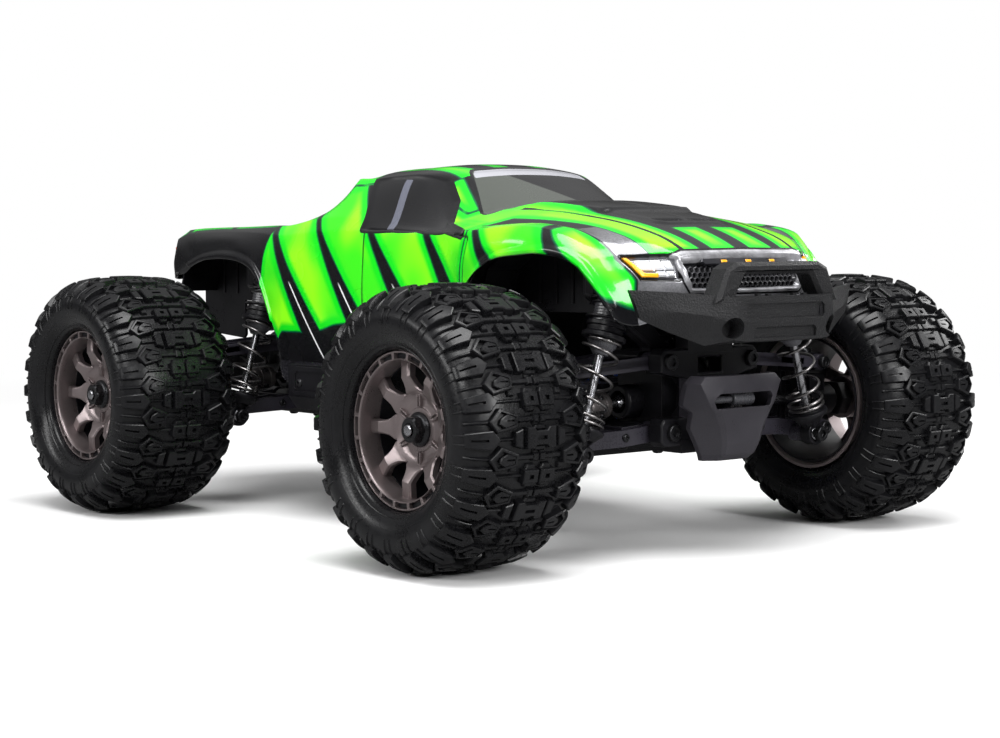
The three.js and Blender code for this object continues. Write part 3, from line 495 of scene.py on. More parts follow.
def flat_solid(outline, levels, holes=()):
    """Solid on flat ground: levels are (height, inset) upwards, holes (outline, floor height)."""
    loops, verts, faces = [], [], []
    for height, step in levels:
        points = inset(outline, step) if step else list(outline)
        loops.append(list(range(len(verts), len(verts) + len(points))))
        verts += [(*p, height) for p in points]

    def walls(low, high):
        n = len(low)
        return [(low[i], low[(i + 1) % n], high[(i + 1) % n], high[i]) for i in range(n)]
    for low, high in zip(loops[:-1], loops[1:]):
        faces += walls(low, high)
    faces.append(tuple(loops[0][::-1]))
    if not holes:
        faces.append(tuple(loops[-1]))
        return Kit().add(verts, faces)
    top = levels[-1][0]
    flat = list(loops[-1])
    borders = [[Vector((*verts[i][:2], 0)) for i in flat]]
    for hole, floor in holes:
        first, n = len(verts), len(hole)
        mouth, base = list(range(first, first + n)), list(range(first + n, first + 2 * n))
        verts += [(*p, top) for p in hole]
        verts += [(*p, floor) for p in inset(hole, 0.08)]
        faces += walls(mouth, base)
        faces.append(tuple(base))
        borders.append([Vector((*p, 0)) for p in hole])
        flat += mouth
    faces += [tuple(flat[i] for i in tri) for tri in tessellate_polygon(borders)]
    return Kit().add(verts, faces)


def wrap_solid(kit, bend, cuts):
    """Slices a flat kit across its first axis, then bends every vertex onto a surface."""
    work = bmesh.new()
    verts = [work.verts.new(v) for v in kit.verts]
    for face in kit.faces:
        # a face that repeats a corner or another face can't be made
        try:
            work.faces.new([verts[i] for i in face])
        except ValueError:
            pass
    for cut in cuts:
        bmesh.ops.bisect_plane(work, geom=work.verts[:] + work.edges[:] + work.faces[:],
                               plane_co=[cut, 0, 0], plane_no=[1, 0, 0], dist=1e-4)
    work.verts.index_update()
    out = Kit().add([bend(v.co) for v in work.verts],
                    [tuple(v.index for v in face.verts) for face in work.faces])
    work.free()
    return out


def smooth_curve(points, steps=6):
    """Catmull-Rom curve through points."""
    pos = np.array(points, float)
    out = []
    for i in range(len(pos) - 1):
        p0, p1, p2, p3 = pos[max(i - 1, 0)], pos[i], pos[i + 1], pos[min(i + 2, len(pos) - 1)]
        for k in range(steps):
            t = k / steps
            out.append(0.5 * ((2 * p1) + (p2 - p0) * t + (2 * p0 - 5 * p1 + 4 * p2 - p3) * t * t
                              + (3 * p1 - p0 - 3 * p2 + p3) * t ** 3))
    return np.array(out + [pos[-1]])


def carve(kit, cutters):
    """Kit minus the cutter kits, cut at millimetre scale."""
    def temp(source):
        mesh = bpy.data.meshes.new("carving")
        mesh.from_pydata(source.verts, [], source.faces)
        outward(mesh)
        return place_object("carving", mesh)
    base = temp(kit)
    tools = [temp(cutter) for cutter in cutters]
    for tool in tools:
        cut = base.modifiers.new("cut", "BOOLEAN")
        cut.operation = "DIFFERENCE"
        cut.solver = "EXACT"
        cut.object = tool
    bpy.context.view_layer.update()
    evaluated = base.evaluated_get(bpy.context.evaluated_depsgraph_get())
    mesh = bpy.data.meshes.new_from_object(evaluated)
    out = Kit().add([tuple(v.co) for v in mesh.vertices],
                    [tuple(p.vertices) for p in mesh.polygons])
    for item in [base] + tools:
        bpy.data.objects.remove(item)
    bpy.data.meshes.remove(mesh)
    return out


# ---------------------------------------------------------------- tyres
# Half section (radius, y) from the crown to the bead; its arc length locates the tread.
HALF = smooth_curve(pts("44.25,0 44.2,6 43.5,14.5 41.6,20.8 38.6,24.4 34.6,25.3 30,24.2 26.5,21.6"))
ARC = np.concatenate([[0], np.cumsum(np.linalg.norm(np.diff(HALF, axis=0), axis=1))])
# Inner half section (radius, y) from the bead to the crown.
LINING = pts("25.95,20.6 25.95,17.2 29.5,21 34.5,22.6 40.4,18.5 41.9,8")
ROW_STEP = 2 * PI * WHEEL_Z / 24
TREAD_CUTS = [11, 14, 16.6, 18, 19.4, 20.8, 22.2, 23.8, 25.9, 28]
BLOCK_H = 2.55


def on_tyre(point):
    """Maps (across, along, height) to the tyre; lugs get lower down the shoulder."""
    across, along, height = point
    side = 1 if across >= 0 else -1
    reach = min(abs(across), ARC[-1])

    def section(distance):
        return np.interp(distance, ARC, HALF[:, 0]), np.interp(distance, ARC, HALF[:, 1])
    radius, y = section(reach)
    r0, y0 = section(max(reach - 0.6, 0))
    r1, y1 = section(min(reach + 0.6, ARC[-1]))
    length = math.hypot(r1 - r0, y1 - y0)
    normal_r, normal_y = (y1 - y0) / length, -(r1 - r0) / length
    if height > 0 and reach >= 17:
        height *= max(0.25, 1 - (reach - 17) * 0.052)
    angle = along / WHEEL_Z
    radius += normal_r * height
    return (radius * math.sin(angle), side * (y + normal_y * height), radius * math.cos(angle))


def lug(outline, height, holes=(), flare=0.32, chamfer=0.28):
    return flat_solid(outline, [(-0.7, -flare - 0.25), (0.15, -flare), (height - chamfer, 0),
                                (height, chamfer)], holes)


def rect(x0, x1, y0, y1):
    return [(x0, y0), (x1, y0), (x1, y1), (x0, y1)]


def tread_pitch():
    """One repeat of the tread: an H block row, a twin block row and the lugs between."""
    kit = Kit()

    def put(outline, along, height, holes=(), both=True, **edge):
        def shifted(points):
            return [(x, y + along) for x, y in points]
        shape = shifted(outline)
        cuts = [(shifted(hole), floor) for hole, floor in holes]
        kit.merge(lug(shape, height, cuts, **edge))
        if both:
            kit.merge(lug(flipped(shape), height, [(flipped(o), f) for o, f in cuts], **edge))

    # H block row: block, notch fillers and side keys
    put(pts("-5.6,-3.3 -3.1,-3.3 -2.1,-2.2 2.1,-2.2 3.1,-3.3 5.6,-3.3 "
            "5.6,3.3 3.1,3.3 2.1,2.2 -2.1,2.2 -3.1,3.3 -5.6,3.3"),
        0, BLOCK_H, [(rect(-1.9, 1.9, -0.6, 0.6), BLOCK_H - 1.0)], both=False)
    for end in (1, -1):
        put([(-2.6, end * 2.6), (2.6, end * 2.6), (1.7, end * 4.0), (-1.7, end * 4.0)],
            0, 1.3, both=False)
        put(rect(0.5, 2.3, *sorted((end * 4.0, end * 6.0))), 0, 0.7, flare=0.2)
    put(pts("7,-3 9.8,-2.1 9.8,2.1 7,3"), 0, BLOCK_H * 0.82)
    put(rect(9.6, 15.6, -0.45, 0.45), 0, 0.9, flare=0.2)
    # twin block row: blocks with steps and a long rib
    put(rect(0.42, 5.95, -2.1, 2.1), ROW_STEP, BLOCK_H,
        [(rect(2.35, 4.0, -0.72, 0.72), BLOCK_H - 1.1)])
    for end in (1, -1):
        put([(1.0, end * 2.0), (5.2, end * 2.0), (4.3, end * 3.7), (1.9, end * 3.7)],
            ROW_STEP, 1.35)
    put(rect(5.8, 15.4, -0.42, 0.42), ROW_STEP, 0.95, flare=0.2)
    put(rect(8.4, 10.6, 1.6, 3.6), ROW_STEP, 1.0, flare=0.2)
    pentagon = pts("16.2,-3.9 9.3,-2.4 8.9,1.3 14.9,3.8 18.4,-0.2")
    core = pts("15.4,-1.2 13.6,-2.55 9.9,-1.75 9.75,0.75 12.6,1.95 14.9,0.4")
    for row in (0, ROW_STEP):
        # slotted shoulder lug, then two ribs down the wall
        put(pts("15.3,0 17.6,-3 21.2,-2.8 25.4,-2.35 25.4,2.35 21.2,2.8 17.6,3"),
            row, 2.7, [(rect(18.9, 23.6, -0.38, 0.38), 1.2)])
        for y in (-2.0, 1.35):
            put([(24.9, y), (30.4, y + 0.15), (30.4, y + 0.5), (24.9, y + 0.65)],
                row, 1.0, flare=0.2, chamfer=0.2)
        # pentagon lug between the rows: frame, sunk channel and inner block
        between = row + ROW_STEP / 2
        put(pentagon, between, 2.5, [(inset(pentagon, 0.85), 1.0)])
        put(core, between, 2.35, [(rect(10.3, 13.1, -0.55, 0.05), 1.45)], flare=0.1)
        put(pts("18.2,-0.75 26,-0.55 26,0.15 18.2,0.3"), between, 1.1, flare=0.2)
        # tie bar across the middle with a thicker centre
        put(rect(0.3, 8.9, -0.8, 0.8), between, 1.15, flare=0.25)
        put(rect(0.3, 2.4, -1.25, 1.25), between, 1.45, flare=0.25)
    return kit


def tyre_kit():
    kit = Kit()
    repeat = wrap_solid(tread_pitch(), on_tyre, [-c for c in TREAD_CUTS[::-1]] + TREAD_CUTS)
    for i in range(12):
        cos, sin = math.cos(2 * PI * i / 12), math.sin(2 * PI * i / 12)
        kit.merge(repeat, lambda v: (v[0] * cos + v[2] * sin, v[1], -v[0] * sin + v[2] * cos))
    # thick carcass, then two fine rings on each wall
    wall = [tuple(p) for p in HALF]
    outer = [(r, -y) for r, y in wall[::-1]][:-1] + wall
    kit.lathe(outer + LINING + [(r, -y) for r, y in LINING[::-1]], n=144, closed=True)
    for side in (1, -1):
        for radius, y in ((31.0, 24.35), (27.6, 22.45)):
            kit.tube([around_axle(radius, side * y, 2 * PI * i / 120) for i in range(120)],
                     0.32, 8, closed=True)
    return kit


# ---------------------------------------------------------------- rims
# Ring section (radius, y): up to the slots, and from the slots back over the beads.
RING_INNER = pts("22.3,10.5 22.2,17.6 22.45,18.9 22.75,19.35 23,19.5")
RING_OUTER = pts("24.9,19.5 25.35,19.5 25.7,19.1 25.7,16.5 24.9,15.6 24.9,-18 25.7,-20 "
                 "25.7,-22.4 24.6,-22.5 23.7,-21.6 23.2,-17 22.6,-4 22.5,6")
# Slot stations: (fraction of a slot pitch, 1 where the slot is cut).
SLOT_STEPS = pts("-0.42,0 -0.405,1 -0.2,1 0,1 0.2,1 0.405,1 0.42,0 0.5,0")
SLOTS, SLOT_DEPTH = 20, 1.5
SPOKES = 9
SPOKE_FACE = pts("0,11.2 9.5,11.2 11,11.9 12.5,13.3 17,15.6 17.3,15.6 22.9,14.7")   # radius, y
SPOKE_HALF = pts("8.6,3.3 11.6,4.35 12.2,4.2 12.8,3.6 13.6,3 14.6,2.62 15.8,2.38 17,2.25 "
                 "20,2.25 22.9,2.5")                                             # radius, width
SPOKE_RADII = (8.6, 9.5, 11, 11.6, 12.2, 12.8, 13.6, 14.6, 15.8, 17, 17.3, 20, 21.4, 22.9)


def rim_kit():
    """Nine-spoke rim about the axle at the origin, outer face towards +y."""
    kit = Kit()
    rings = []
    for i in range(SLOTS):
        for step, cut in SLOT_STEPS:
            y = 19.5 - cut * SLOT_DEPTH
            section = RING_INNER + [(23.12, y), (24.78, y)] + RING_OUTER
            angle = 2 * PI * i / SLOTS + step * 2 * PI / SLOTS
            rings.append([around_axle(r, h, angle) for r, h in section])
    kit.rings(rings, wrap=True)
    kit.lathe(pts("21.9,11.4 22.25,11.4 22.4,-4 23.05,-17 23.6,-21.7 22.9,-21.9 22.6,-17 21.8,-4"),
              n=96, slot=1, closed=True)
    # thin black ring on the slot floors: painted shade that darkens the slots
    kit.lathe(pts("23.15,17.6 24.75,17.6 24.75,18.14 23.15,18.14"), n=120, slot=1, closed=True)

    def face(radius):
        return lookup(radius, SPOKE_FACE)
    # spokes with a flat crown and dropped flanks
    for i in range(SPOKES):
        rows = []
        for r in SPOKE_RADII:
            w, y = lookup(r, SPOKE_HALF), face(r)
            half = [(-w * 0.45, y), (-w + 0.55, y - 0.12), (-w, y - 0.75), (-w, y - 2.9)]
            section = half[::-1] + [(-q, h) for q, h in half]
            section += [(w * 0.35, y - 3.6), (-w * 0.35, y - 3.6)]
            rows.append([around_axle(r, h, 2 * PI * i / SPOKES, q) for q, h in section])
        kit.rings(rows)
    # webs that round the inner end of each window
    for i in range(SPOKES):
        rows = []
        for j in range(-4, 5):
            angle = 2 * PI * (i + 0.5) / SPOKES + j / 4 * PI / SPOKES
            edge = 12.1 + 0.9 * (abs(j) / 4) ** 2.0
            section = [(6.5, 8.0)] + [(r, face(r) - 0.05) for r in (6.5, 9.5, 11.0, edge - 0.35)]
            section += [(edge, face(edge) - 0.6), (edge, face(edge) - 3.6)]
            rows.append([around_axle(r, y, angle) for r, y in section])
        kit.rings(rows)
    # dished hub with six keys, each two bars and a bridge
    kit.lathe(pts("0.01,9.6 4.9,9.6 5.1,11.3 5.6,11.75 6.9,11.75 7.2,11.35 7.5,11.25 10.2,11.15 "
                  "10.2,7.6 8,6.8 8,-3.4 7.2,-3.5 0.01,-3.5"), n=64)
    for i in range(6):
        for text in ("7.4,-1 11.4,-0.85 11.4,-0.35 7.4,-0.35",
                     "7.4,0.35 11.4,0.35 11.4,0.85 7.4,1",
                     "10.9,-0.5 11.4,-0.5 11.4,0.5 10.9,0.5"):
            kit.rings([[around_axle(r, y, 2 * PI * i / 6 + PI / 6, q)
                        for r, q in (inset(pts(text), step) if step else pts(text))]
                       for y, step in ((10.6, 0), (12.2, 0), (12.4, 0.12))])
    return kit


def nut_kit():
    """Flanged nut, axle, hex drive and drive cup, about the axle at the origin."""
    def ring(radius, y, hexagon=False):
        angles = [2 * PI * k / 36 for k in range(36)]
        return [around_axle(hex_radius(radius, a) if hexagon else radius, y, a) for a in angles]
    kit = Kit()
    kit.lathe(pts("2,11.6 5.6,11.6 5.75,12.2 5.3,12.9 4.3,13.35 2,13.35"), n=60, closed=True)
    kit.rings([ring(4.7, 13.2, True), ring(4.7, 15.4, True), ring(3.9, 16.2), ring(2.3, 16.2),
               ring(2.25, 15.6), ring(2.0, 15.6), ring(2.0, 13.2)], wrap=True)
    kit.lathe(pts("2.4,-26 2.4,12 1.95,12.2 1.95,16.6 1.6,17 0.01,17.1"), n=28, slot=1)
    kit.rings([ring(r, y, True) for r, y in pts("6.6,-9.5 6.9,-9.2 6.9,-4.2 6.6,-3.9")])
    kit.lathe(pts("3.6,-26.7 4.6,-26.7 4.9,-26.3 4.9,-21.4 4.4,-20.2 3.2,-19.6 2.2,-19.4 "
                  "2.2,-21.2 3.6,-21.6"), n=44, slot=2, closed=True)
    return kit


tyre, rim, nut = tyre_kit(), rim_kit(), nut_kit()
for end, axle in ENDS:
    for hand, side in SIDES:
        corner = f"{end}_{hand}"
        wheel = corner + "_wheel"
        place = (Matrix.Translation((axle * MM, side * TRACK_Y * MM, WHEEL_Z * MM))
                 @ Matrix.Rotation(0 if side > 0 else PI, 4, "Z"))
        tyre.obj(corner + "_tyre_treaded", wheel, RUBBER, "tyre_rubber", corner + "_tyre",
                 place=place, angle=32)
        rim.obj(corner + "_rim_spoked", wheel, [BRONZE, PLASTIC], "rim_bronze",
                corner + "_rim", bevel=0.16, angle=30, place=place)
        nut.obj(corner + "_axle_and_nut", wheel, [SCREW, STEEL, CUP_METAL], "black_metal",
                corner + "_stub_axle", bevel=0.12, place=place)

# ---------------------------------------------------------------- body shell surface
# Half cage of the outer surface, tail to nose. Each row is ten x,y,z points running
# from the centre line out and down.
CAGE = np.array(pts("""
-147,0,91 -147,16,91 -147,30,91 -146.8,38,91 -146,43,91.4
    -146.4,46.8,90.8 -145.8,49,91.2 -144.6,50.1,91.8 -143.4,50.4,92.4 -142,50.4,93
-149,0,100 -149,16,100 -149,30,100 -148.8,38,100 -148,43.3,100
    -148.2,47.2,99.4 -146.4,49.4,98.2 -143.4,50.3,96.2 -140.6,50.5,94.7 -137.7,50.3,93.2
-149,0,108.6 -149,16,108.8 -149,30,109.2 -148.6,38,109.6 -147.4,43.3,109.4
    -146.6,47,108 -143.2,49.3,104.8 -138,50.4,100.6 -134.4,50.6,98 -131.2,50.4,96
-145.6,0,111.2 -145.6,16,111.3 -145.4,31,111.7 -144.4,38,112.2 -143,43.2,111.8
    -141,46.4,110 -136.6,48.7,107 -131,50,102.6 -128,50.5,100.2 -125,50.5,98
-140,0,107 -140,16,107 -139.4,32,107.6 -136.6,38.4,112.6 -135.6,43.4,112.2
    -133.6,46.8,110.4 -129,49,107.6 -124,50.3,103.8 -121.4,50.8,101.5 -119,50.8,99.2
-122,0,106 -122,16,106 -122,33,106.7 -121,38.8,112.8 -120,43.8,112.5
    -118.6,47.1,110.8 -115.6,49.4,108.1 -112.6,50.6,104.4 -111,51.1,102.1 -109.6,51.1,99.8
-104,0,106 -104,16,106 -104,33.4,106.7 -103.6,39,112.9 -103,44,112.6
    -102.4,47.5,110.9 -101.2,49.8,108.2 -100,51,104.3 -99.4,51.5,101.9 -98.8,51.5,99.6
-91,0,106 -91,16,106 -91,33.6,106.8 -91,39.2,113.1 -90.8,44.4,112.7
    -90.4,47.9,110.7 -90,50.2,107.4 -89.4,51.4,104.2 -89,51.8,101 -88.6,51.8,98.3
-79,0,106 -79,16,106 -79,33.8,106.9 -79.4,39.5,113.3 -80,44.8,112.8
    -80.4,48.4,110.3 -80.8,50.7,105.8 -81,51.8,101.6 -81,52.1,99.4 -81,52.1,95.6
-68,0,106 -68,16,106 -68,34,107.1 -69.4,39.8,113.2 -71,45.3,112.9
    -72.6,48.9,109.8 -74,51.2,103.4 -74.8,52.2,96.8 -75.1,52.4,93.4 -75.3,52.4,91
-57,0,106 -57,16,106 -57,34,107.4 -59,40,113.2 -62,45.9,113.2
    -64.6,49.4,109.4 -66.6,51.8,101.4 -67.6,52.7,91 -68,52.8,84.6 -68.1,52.7,79.5
-46,0,106.2 -46,16,106.4 -46.4,33.2,107.6 -51,39.8,113.4 -54.6,46.7,113.9
    -58,50,109.4 -60.2,52.3,99.6 -61.2,53.1,86.6 -61.6,53.1,74 -61.4,52.8,64.6
-39.6,0,107.4 -39.6,16,108 -40,32.4,109.6 -43.4,39.3,117.2 -48.4,47.6,114.6
    -52.4,50.6,109.7 -55.4,52.8,98.6 -57,53.6,83.6 -57.6,53.4,66.6 -57.9,52.6,52.6
-35,0,112 -35,16,112.6 -35,32.4,113.6 -37,38.7,120.6 -40.6,48.5,115.3
    -44,51.2,110.2 -46,53.2,98.2 -46.6,54,83.2 -46.8,53.8,66.2 -46.8,52.7,51
-30,0,120.6 -30,16,121 -29.8,32.8,121.4 -30.4,38.5,125.6 -31.6,49.2,115.9
    -33.6,51.7,110.7 -34.4,53.6,98.2 -34.6,54.4,83.2 -34.6,54.1,66.2 -34.6,52.9,51
-25,0,129.4 -25,16,129.4 -24.6,33.2,129.2 -24.2,38.7,130.6 -20.6,50,116.1
    -20.8,52.3,111 -20.8,54,98.2 -20.8,54.8,83.2 -20.8,54.4,66.2 -20.8,53.1,51
-18.4,0,133.6 -18.2,16,133.2 -17.6,33.4,131.6 -15.6,39.2,130.5 -8,50.5,115.1
    -8,52.8,110.8 -8,54.4,98.2 -8,55.1,83.2 -8,54.7,66.2 -8,53.3,51
0,0,135.4 0,16,135 0,33.4,132.9 0,39.3,131 6,50.6,114.1
    6,53.2,110.4 6,54.7,98.2 6,55.3,83.2 6,54.9,66.2 6,53.4,51
18,0,135.6 17.6,16,135.1 16,32.4,132.7 14,38.9,130.3 20,50.6,113
    20,53.6,110.1 20,55,98.2 20,55.5,83.2 20,55.1,66.2 20,53.5,51
31,0,133.5 30.6,15,133.1 28.6,29.8,131.3 22.6,38.6,126.6 29.6,50.6,112.3
    31,54.1,109.9 32,55.4,98.2 32,55.8,83.2 32,55.2,66.2 32,53.5,51
44.4,0,126.6 43.6,15,126.2 39.8,31,124.7 31.4,42,119.6 37.4,50.9,111.8
    41,54.8,109.8 42.4,56.1,98.2 42.6,56.2,83.2 42.6,55.4,66.2 42.4,53.6,51
57,0,119.8 56,15,119.5 50.4,32,118.4 40.6,45.4,113.3 46,51.6,111.5
    50.6,56,109.9 51,57.2,98.2 50.4,56.8,82.6 49.6,55.6,66.2 49,53.7,51.2
66,0,119.4 65,15,119.3 60.6,33.2,117.6 53.6,46.3,112.5 57.6,52.7,111.3
    61,57.8,110.1 59.8,59.2,98.6 57.6,58,83.4 55.6,56.3,68.4 54,54.1,53.4
77.6,0,118.8 77,15,118.7 74,34.6,116.6 69.4,46.4,112 70,53.8,111.6
    71.4,59.6,110.4 69.8,61.7,102.2 67.6,61.1,92 65.6,59.8,83.6 63.2,57.8,76
88.4,0,117.8 88,15,117.6 85.6,35.8,115.5 81.4,46.4,111.9 80.8,54.6,112.2
    81,60.8,111 79.6,63.2,105 77.6,63.5,99.8 76,63.3,97 74,62.9,94.4
100,0,116 99.6,15,115.8 97.4,36.2,114.1 93,46.4,111.8 92.2,55.2,112.6
    92.2,61.2,111.6 90.4,63.7,106.8 88.6,64.2,103.4 87.2,64.1,101.8 85.6,63.7,100.3
112,0,113.8 111.6,15,113.6 109.4,36.2,112.5 105.4,46.4,111.2 105,55,112.4
    105,61,111.4 104,63.7,107.2 103,64.3,104.5 102,64.2,103.3 101,63.8,102.2
123.6,0,111 123.2,15,110.8 120.8,36,110.1 118,46.2,109.4 117.6,54.5,110.2
    118,60.3,109.1 117.2,63.3,105.8 116.6,64,104 116,64,103.2 115,63.7,102.3
133.8,0,107.6 133.4,15,107.4 131.6,35.4,107 129,45.6,106.4 127.8,53.2,106.5
    127,58.9,105.5 126,62.3,103.3 125.4,63.4,102.2 125,63.6,101.5 124.4,63.3,100.7
141.6,0,104 141.6,15,103.8 140.2,31.4,103 137.6,42.4,102.4 135.4,50.4,102
    133.2,56.9,101 131.4,60.6,99.7 130.6,62.2,99 130.2,62.6,98.5 129.8,62.4,98
144.6,0,96.2 144.5,15,96 143.4,31.2,95.5 141.5,42,95 139.5,49.4,94.7
    137.2,55.2,94.2 135.2,58.8,93.8 134.4,60.4,93.5 134,60.9,93.3 133.6,60.8,93
144.2,0,89 144.1,15,88.8 143.2,30.8,88.4 142,40.6,88.1 140.8,47.2,87.9
    139.4,52.4,87.7 137.8,56.2,87.6 137,57.9,87.6 136.6,58.5,87.6 136.2,58.5,87.5
142.6,0,84.8 142.5,15,84.5 142,30,83.4 141.7,38.4,81.4 141.4,44.4,79.2
    140.8,49.2,78.8 139.8,52.8,79.8 139.2,54.6,80.8 138.8,55.3,81.2 138.4,55.5,81.4
""")).reshape(-1, 10, 3)
# The nose corners are drawn back and in: amount for rows 24 on, share for columns 2 on.
NOSE_PULL = (0.8, 2.2, 3.9, 4.2, 6.4, 7.2, 6.5, 6.0, 5.0)
NOSE_SHARE = (.12, .6, 1, 1, 1, 1, 1, 1)
for row, pull in enumerate(NOSE_PULL, 24):
    for column, share in enumerate(NOSE_SHARE, 2):
        CAGE[row, column] += np.array([-pull * share, -0.82 * pull * share, 0.0])
# Sharpness of the creases along cage rows and columns, 0 to 1.
ROW_CREASE = {2: .6, 3: .8, 4: .9, 15: .45, 19: .35, 21: .85, 29: .8}
COLUMN_CREASE = {2: .35, 3: .7, 4: .7, 5: .55}


def hermite(points, crease, steps):
    """Curves along the first axis; returns points and their cage positions."""
    delta = points[1:] - points[:-1]
    span = np.linalg.norm(delta, axis=2, keepdims=True) + 1e-9
    slope = delta / span
    leaving = np.empty_like(points)
    leaving[0], leaving[-1] = slope[0], slope[-1]
    leaving[1:-1] = (span[:-1] * slope[1:] + span[1:] * slope[:-1]) / (span[:-1] + span[1:])
    arriving = leaving.copy()
    for k, sharp in crease.items():
        smooth = leaving[k].copy()
        leaving[k] = (1 - sharp) * smooth + sharp * slope[k]
        arriving[k] = (1 - sharp) * smooth + sharp * slope[k - 1]
    out, where = [], []
    for k in range(len(points) - 1):
        for i in range(steps):
            t = i / steps
            out.append((2 * t**3 - 3 * t**2 + 1) * points[k]
                       + (t**3 - 2 * t**2 + t) * span[k] * leaving[k]
                       + (-2 * t**3 + 3 * t**2) * points[k + 1]
                       + (t**3 - t**2) * span[k] * arriving[k + 1])
            where.append(k + t)
    return np.array(out + [points[-1]]), np.array(where + [len(points) - 1])


row_steps, column_steps = ((15, 14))
full_cage = np.concatenate([CAGE[:, :0:-1] * np.array([1, -1, 1]), CAGE], axis=1)
both_creases = {9 + side * k: c for k, c in COLUMN_CREASE.items() for side in (1, -1)}
across, column_at = hermite(full_cage.transpose(1, 0, 2), both_creases, column_steps)
BASE, row_at = hermite(across.transpose(1, 0, 2), ROW_CREASE, row_steps)
column_at = column_at - 9
middle = int(np.argmin(abs(column_at)))
ROWS, COLUMNS = BASE.shape[:2]
# Chart of the surface: signed girth from the centre line, and length from the tail.
girth_steps = np.linalg.norm(np.diff(BASE, axis=1), axis=2)
SIGNED_GIRTH = np.zeros((ROWS, COLUMNS))
SIGNED_GIRTH[:, middle + 1:] = np.cumsum(girth_steps[:, middle:], axis=1)
SIGNED_GIRTH[:, :middle] = -np.cumsum(girth_steps[:, :middle][:, ::-1], axis=1)[:, ::-1]
GIRTH = abs(SIGNED_GIRTH)
length_steps = np.linalg.norm(np.diff(BASE, axis=0), axis=2)
lengths = np.cumsum(length_steps[:, abs(column_at) <= 5.01].mean(axis=1))
LENGTH = np.repeat(np.concatenate([[0], lengths])[:, None], COLUMNS, axis=1)
normals = np.cross(np.gradient(BASE, axis=0), np.gradient(BASE, axis=1))
normals /= np.linalg.norm(normals, axis=2, keepdims=True) + 1e-12
X, Z = BASE[..., 0], BASE[..., 2]
ABS_Y = abs(BASE[..., 1])
FAR = 60.0      # distance given to points beyond any outline


def outline_distance(outline, x, y):
    """Signed distance to an outline, negative inside."""
    corners = np.array(outline, float)
    nearest = np.full(x.shape, 1e9)
    inside = np.zeros(x.shape, bool)
    for i in range(len(corners)):
        a, b = corners[i], corners[(i + 1) % len(corners)]
        edge = b - a
        dx, dy = x - a[0], y - a[1]
        t = np.clip((dx * edge[0] + dy * edge[1]) / (edge @ edge + 1e-9), 0, 1)
        nearest = np.minimum(nearest, (dx - edge[0] * t) ** 2 + (dy - edge[1] * t) ** 2)
        # a level edge divides by zero but never counts as crossed
        with np.errstate(divide="ignore", invalid="ignore"):
            crossing = a[0] + (y - a[1]) / (b[1] - a[1]) * edge[0]
        inside ^= ((a[1] > y) != (b[1] > y)) & (x < crossing)
    return np.where(inside, -1, 1) * np.sqrt(nearest)


def layer(*outlines, x=LENGTH, y=GIRTH, grow=0.0, where=True):
    """Distance to the nearest outline, by default in the (length, girth) chart."""
    out = np.full(LENGTH.shape, FAR)
    for text in outlines:
        out = np.minimum(out, outline_distance(pts(text), x, y) - grow)
    return np.where(where, out, FAR)


def soft(distance, width):
    """1 inside and 0 outside, eased over twice the width."""
    t = np.clip(0.5 - distance / (2 * width), 0, 1)
    return t * t * (3 - 2 * t)


# Outlines in (length, girth).
glass = layer("165.8,40.9 203.5,36.8 216.1,42 241.4,63.7 165.9,63.9", grow=1.0)
pillar = np.maximum(layer("184,41 188.6,41 186.6,65 182,65"), glass + 0.8)
screen = layer("202.4,-1 202.4,23.6 205,26 229.6,38 232.4,38.6 225.6,-1", grow=0.8)
band = np.maximum(layer("201.4,-1 201.4,30 207.4,32 207.4,-1"), screen + 0.35)
rear_window = layer("139.5,-1 139.5,28.5 155.5,27.5 155.5,-1", grow=1.2)
scoop = layer("231.5,-1 231.5,29.5 236,31.2 262,26.4 271,21.5 271,-1")
scoop_step = layer("268,-1 268,20.8 290,17 293.5,14 293.5,-1")
door = layer("170,66.5 247,66.5 247.4,90 240,112 214,117 176,117 171,92", grow=2.0)
bed = layer("33,-1 33,30.5 108,31.5 108,-1", where=row_at[:, None] > 4.3)
# Outlines in (y, z). Beyond LAMP_Y the lamps are drawn wide and squeezed onto the corner.
LAMP_Y, SQUEEZE = 31, 0.71
wide_y = np.where(ABS_Y > LAMP_Y, LAMP_Y + (ABS_Y - LAMP_Y) / SQUEEZE, ABS_Y)
at_nose = X > 120
lamp = layer("30.6,93.9 30.6,100.6 33.5,101.4 49.4,100.9 45,94.2", x=wide_y, y=Z, grow=0.2,
             where=at_nose)
amber = layer("49.9,101.1 48.2,101.1 43.9,95.9 38,95.7 38.6,93.9 45.2,94", x=wide_y, y=Z,
              where=at_nose)
grille_frame = layer("-1,103.2 27.4,102.8 31.6,101.4 28.4,93 25.8,89.4 -1,89.4", x=ABS_Y, y=Z,
                     grow=0.3, where=at_nose)
grille = layer("-1,99.9 27.2,99.3 24.8,91 -1,90.6", x=ABS_Y, y=Z, grow=0.3, where=at_nose)
tail = layer("42.2,92.4 47.6,92.6 48.4,99.2 47.4,104.6 42.8,105.4", x=ABS_Y, y=Z, grow=0.2,
             where=X < -120)
gate = layer("-1,93.2 36.5,93.2 38.4,95 38.4,104.4 36.5,106 -1,106", x=ABS_Y, y=Z,
             where=X < -140)
# wheel-arch lip: distance from the lower edge near the two arches
arch = np.where(((LENGTH > 18) & (LENGTH < 112)) | ((LENGTH > 247) & (LENGTH < 335)),
                np.max(GIRTH, axis=1, keepdims=True) - GIRTH, FAR)

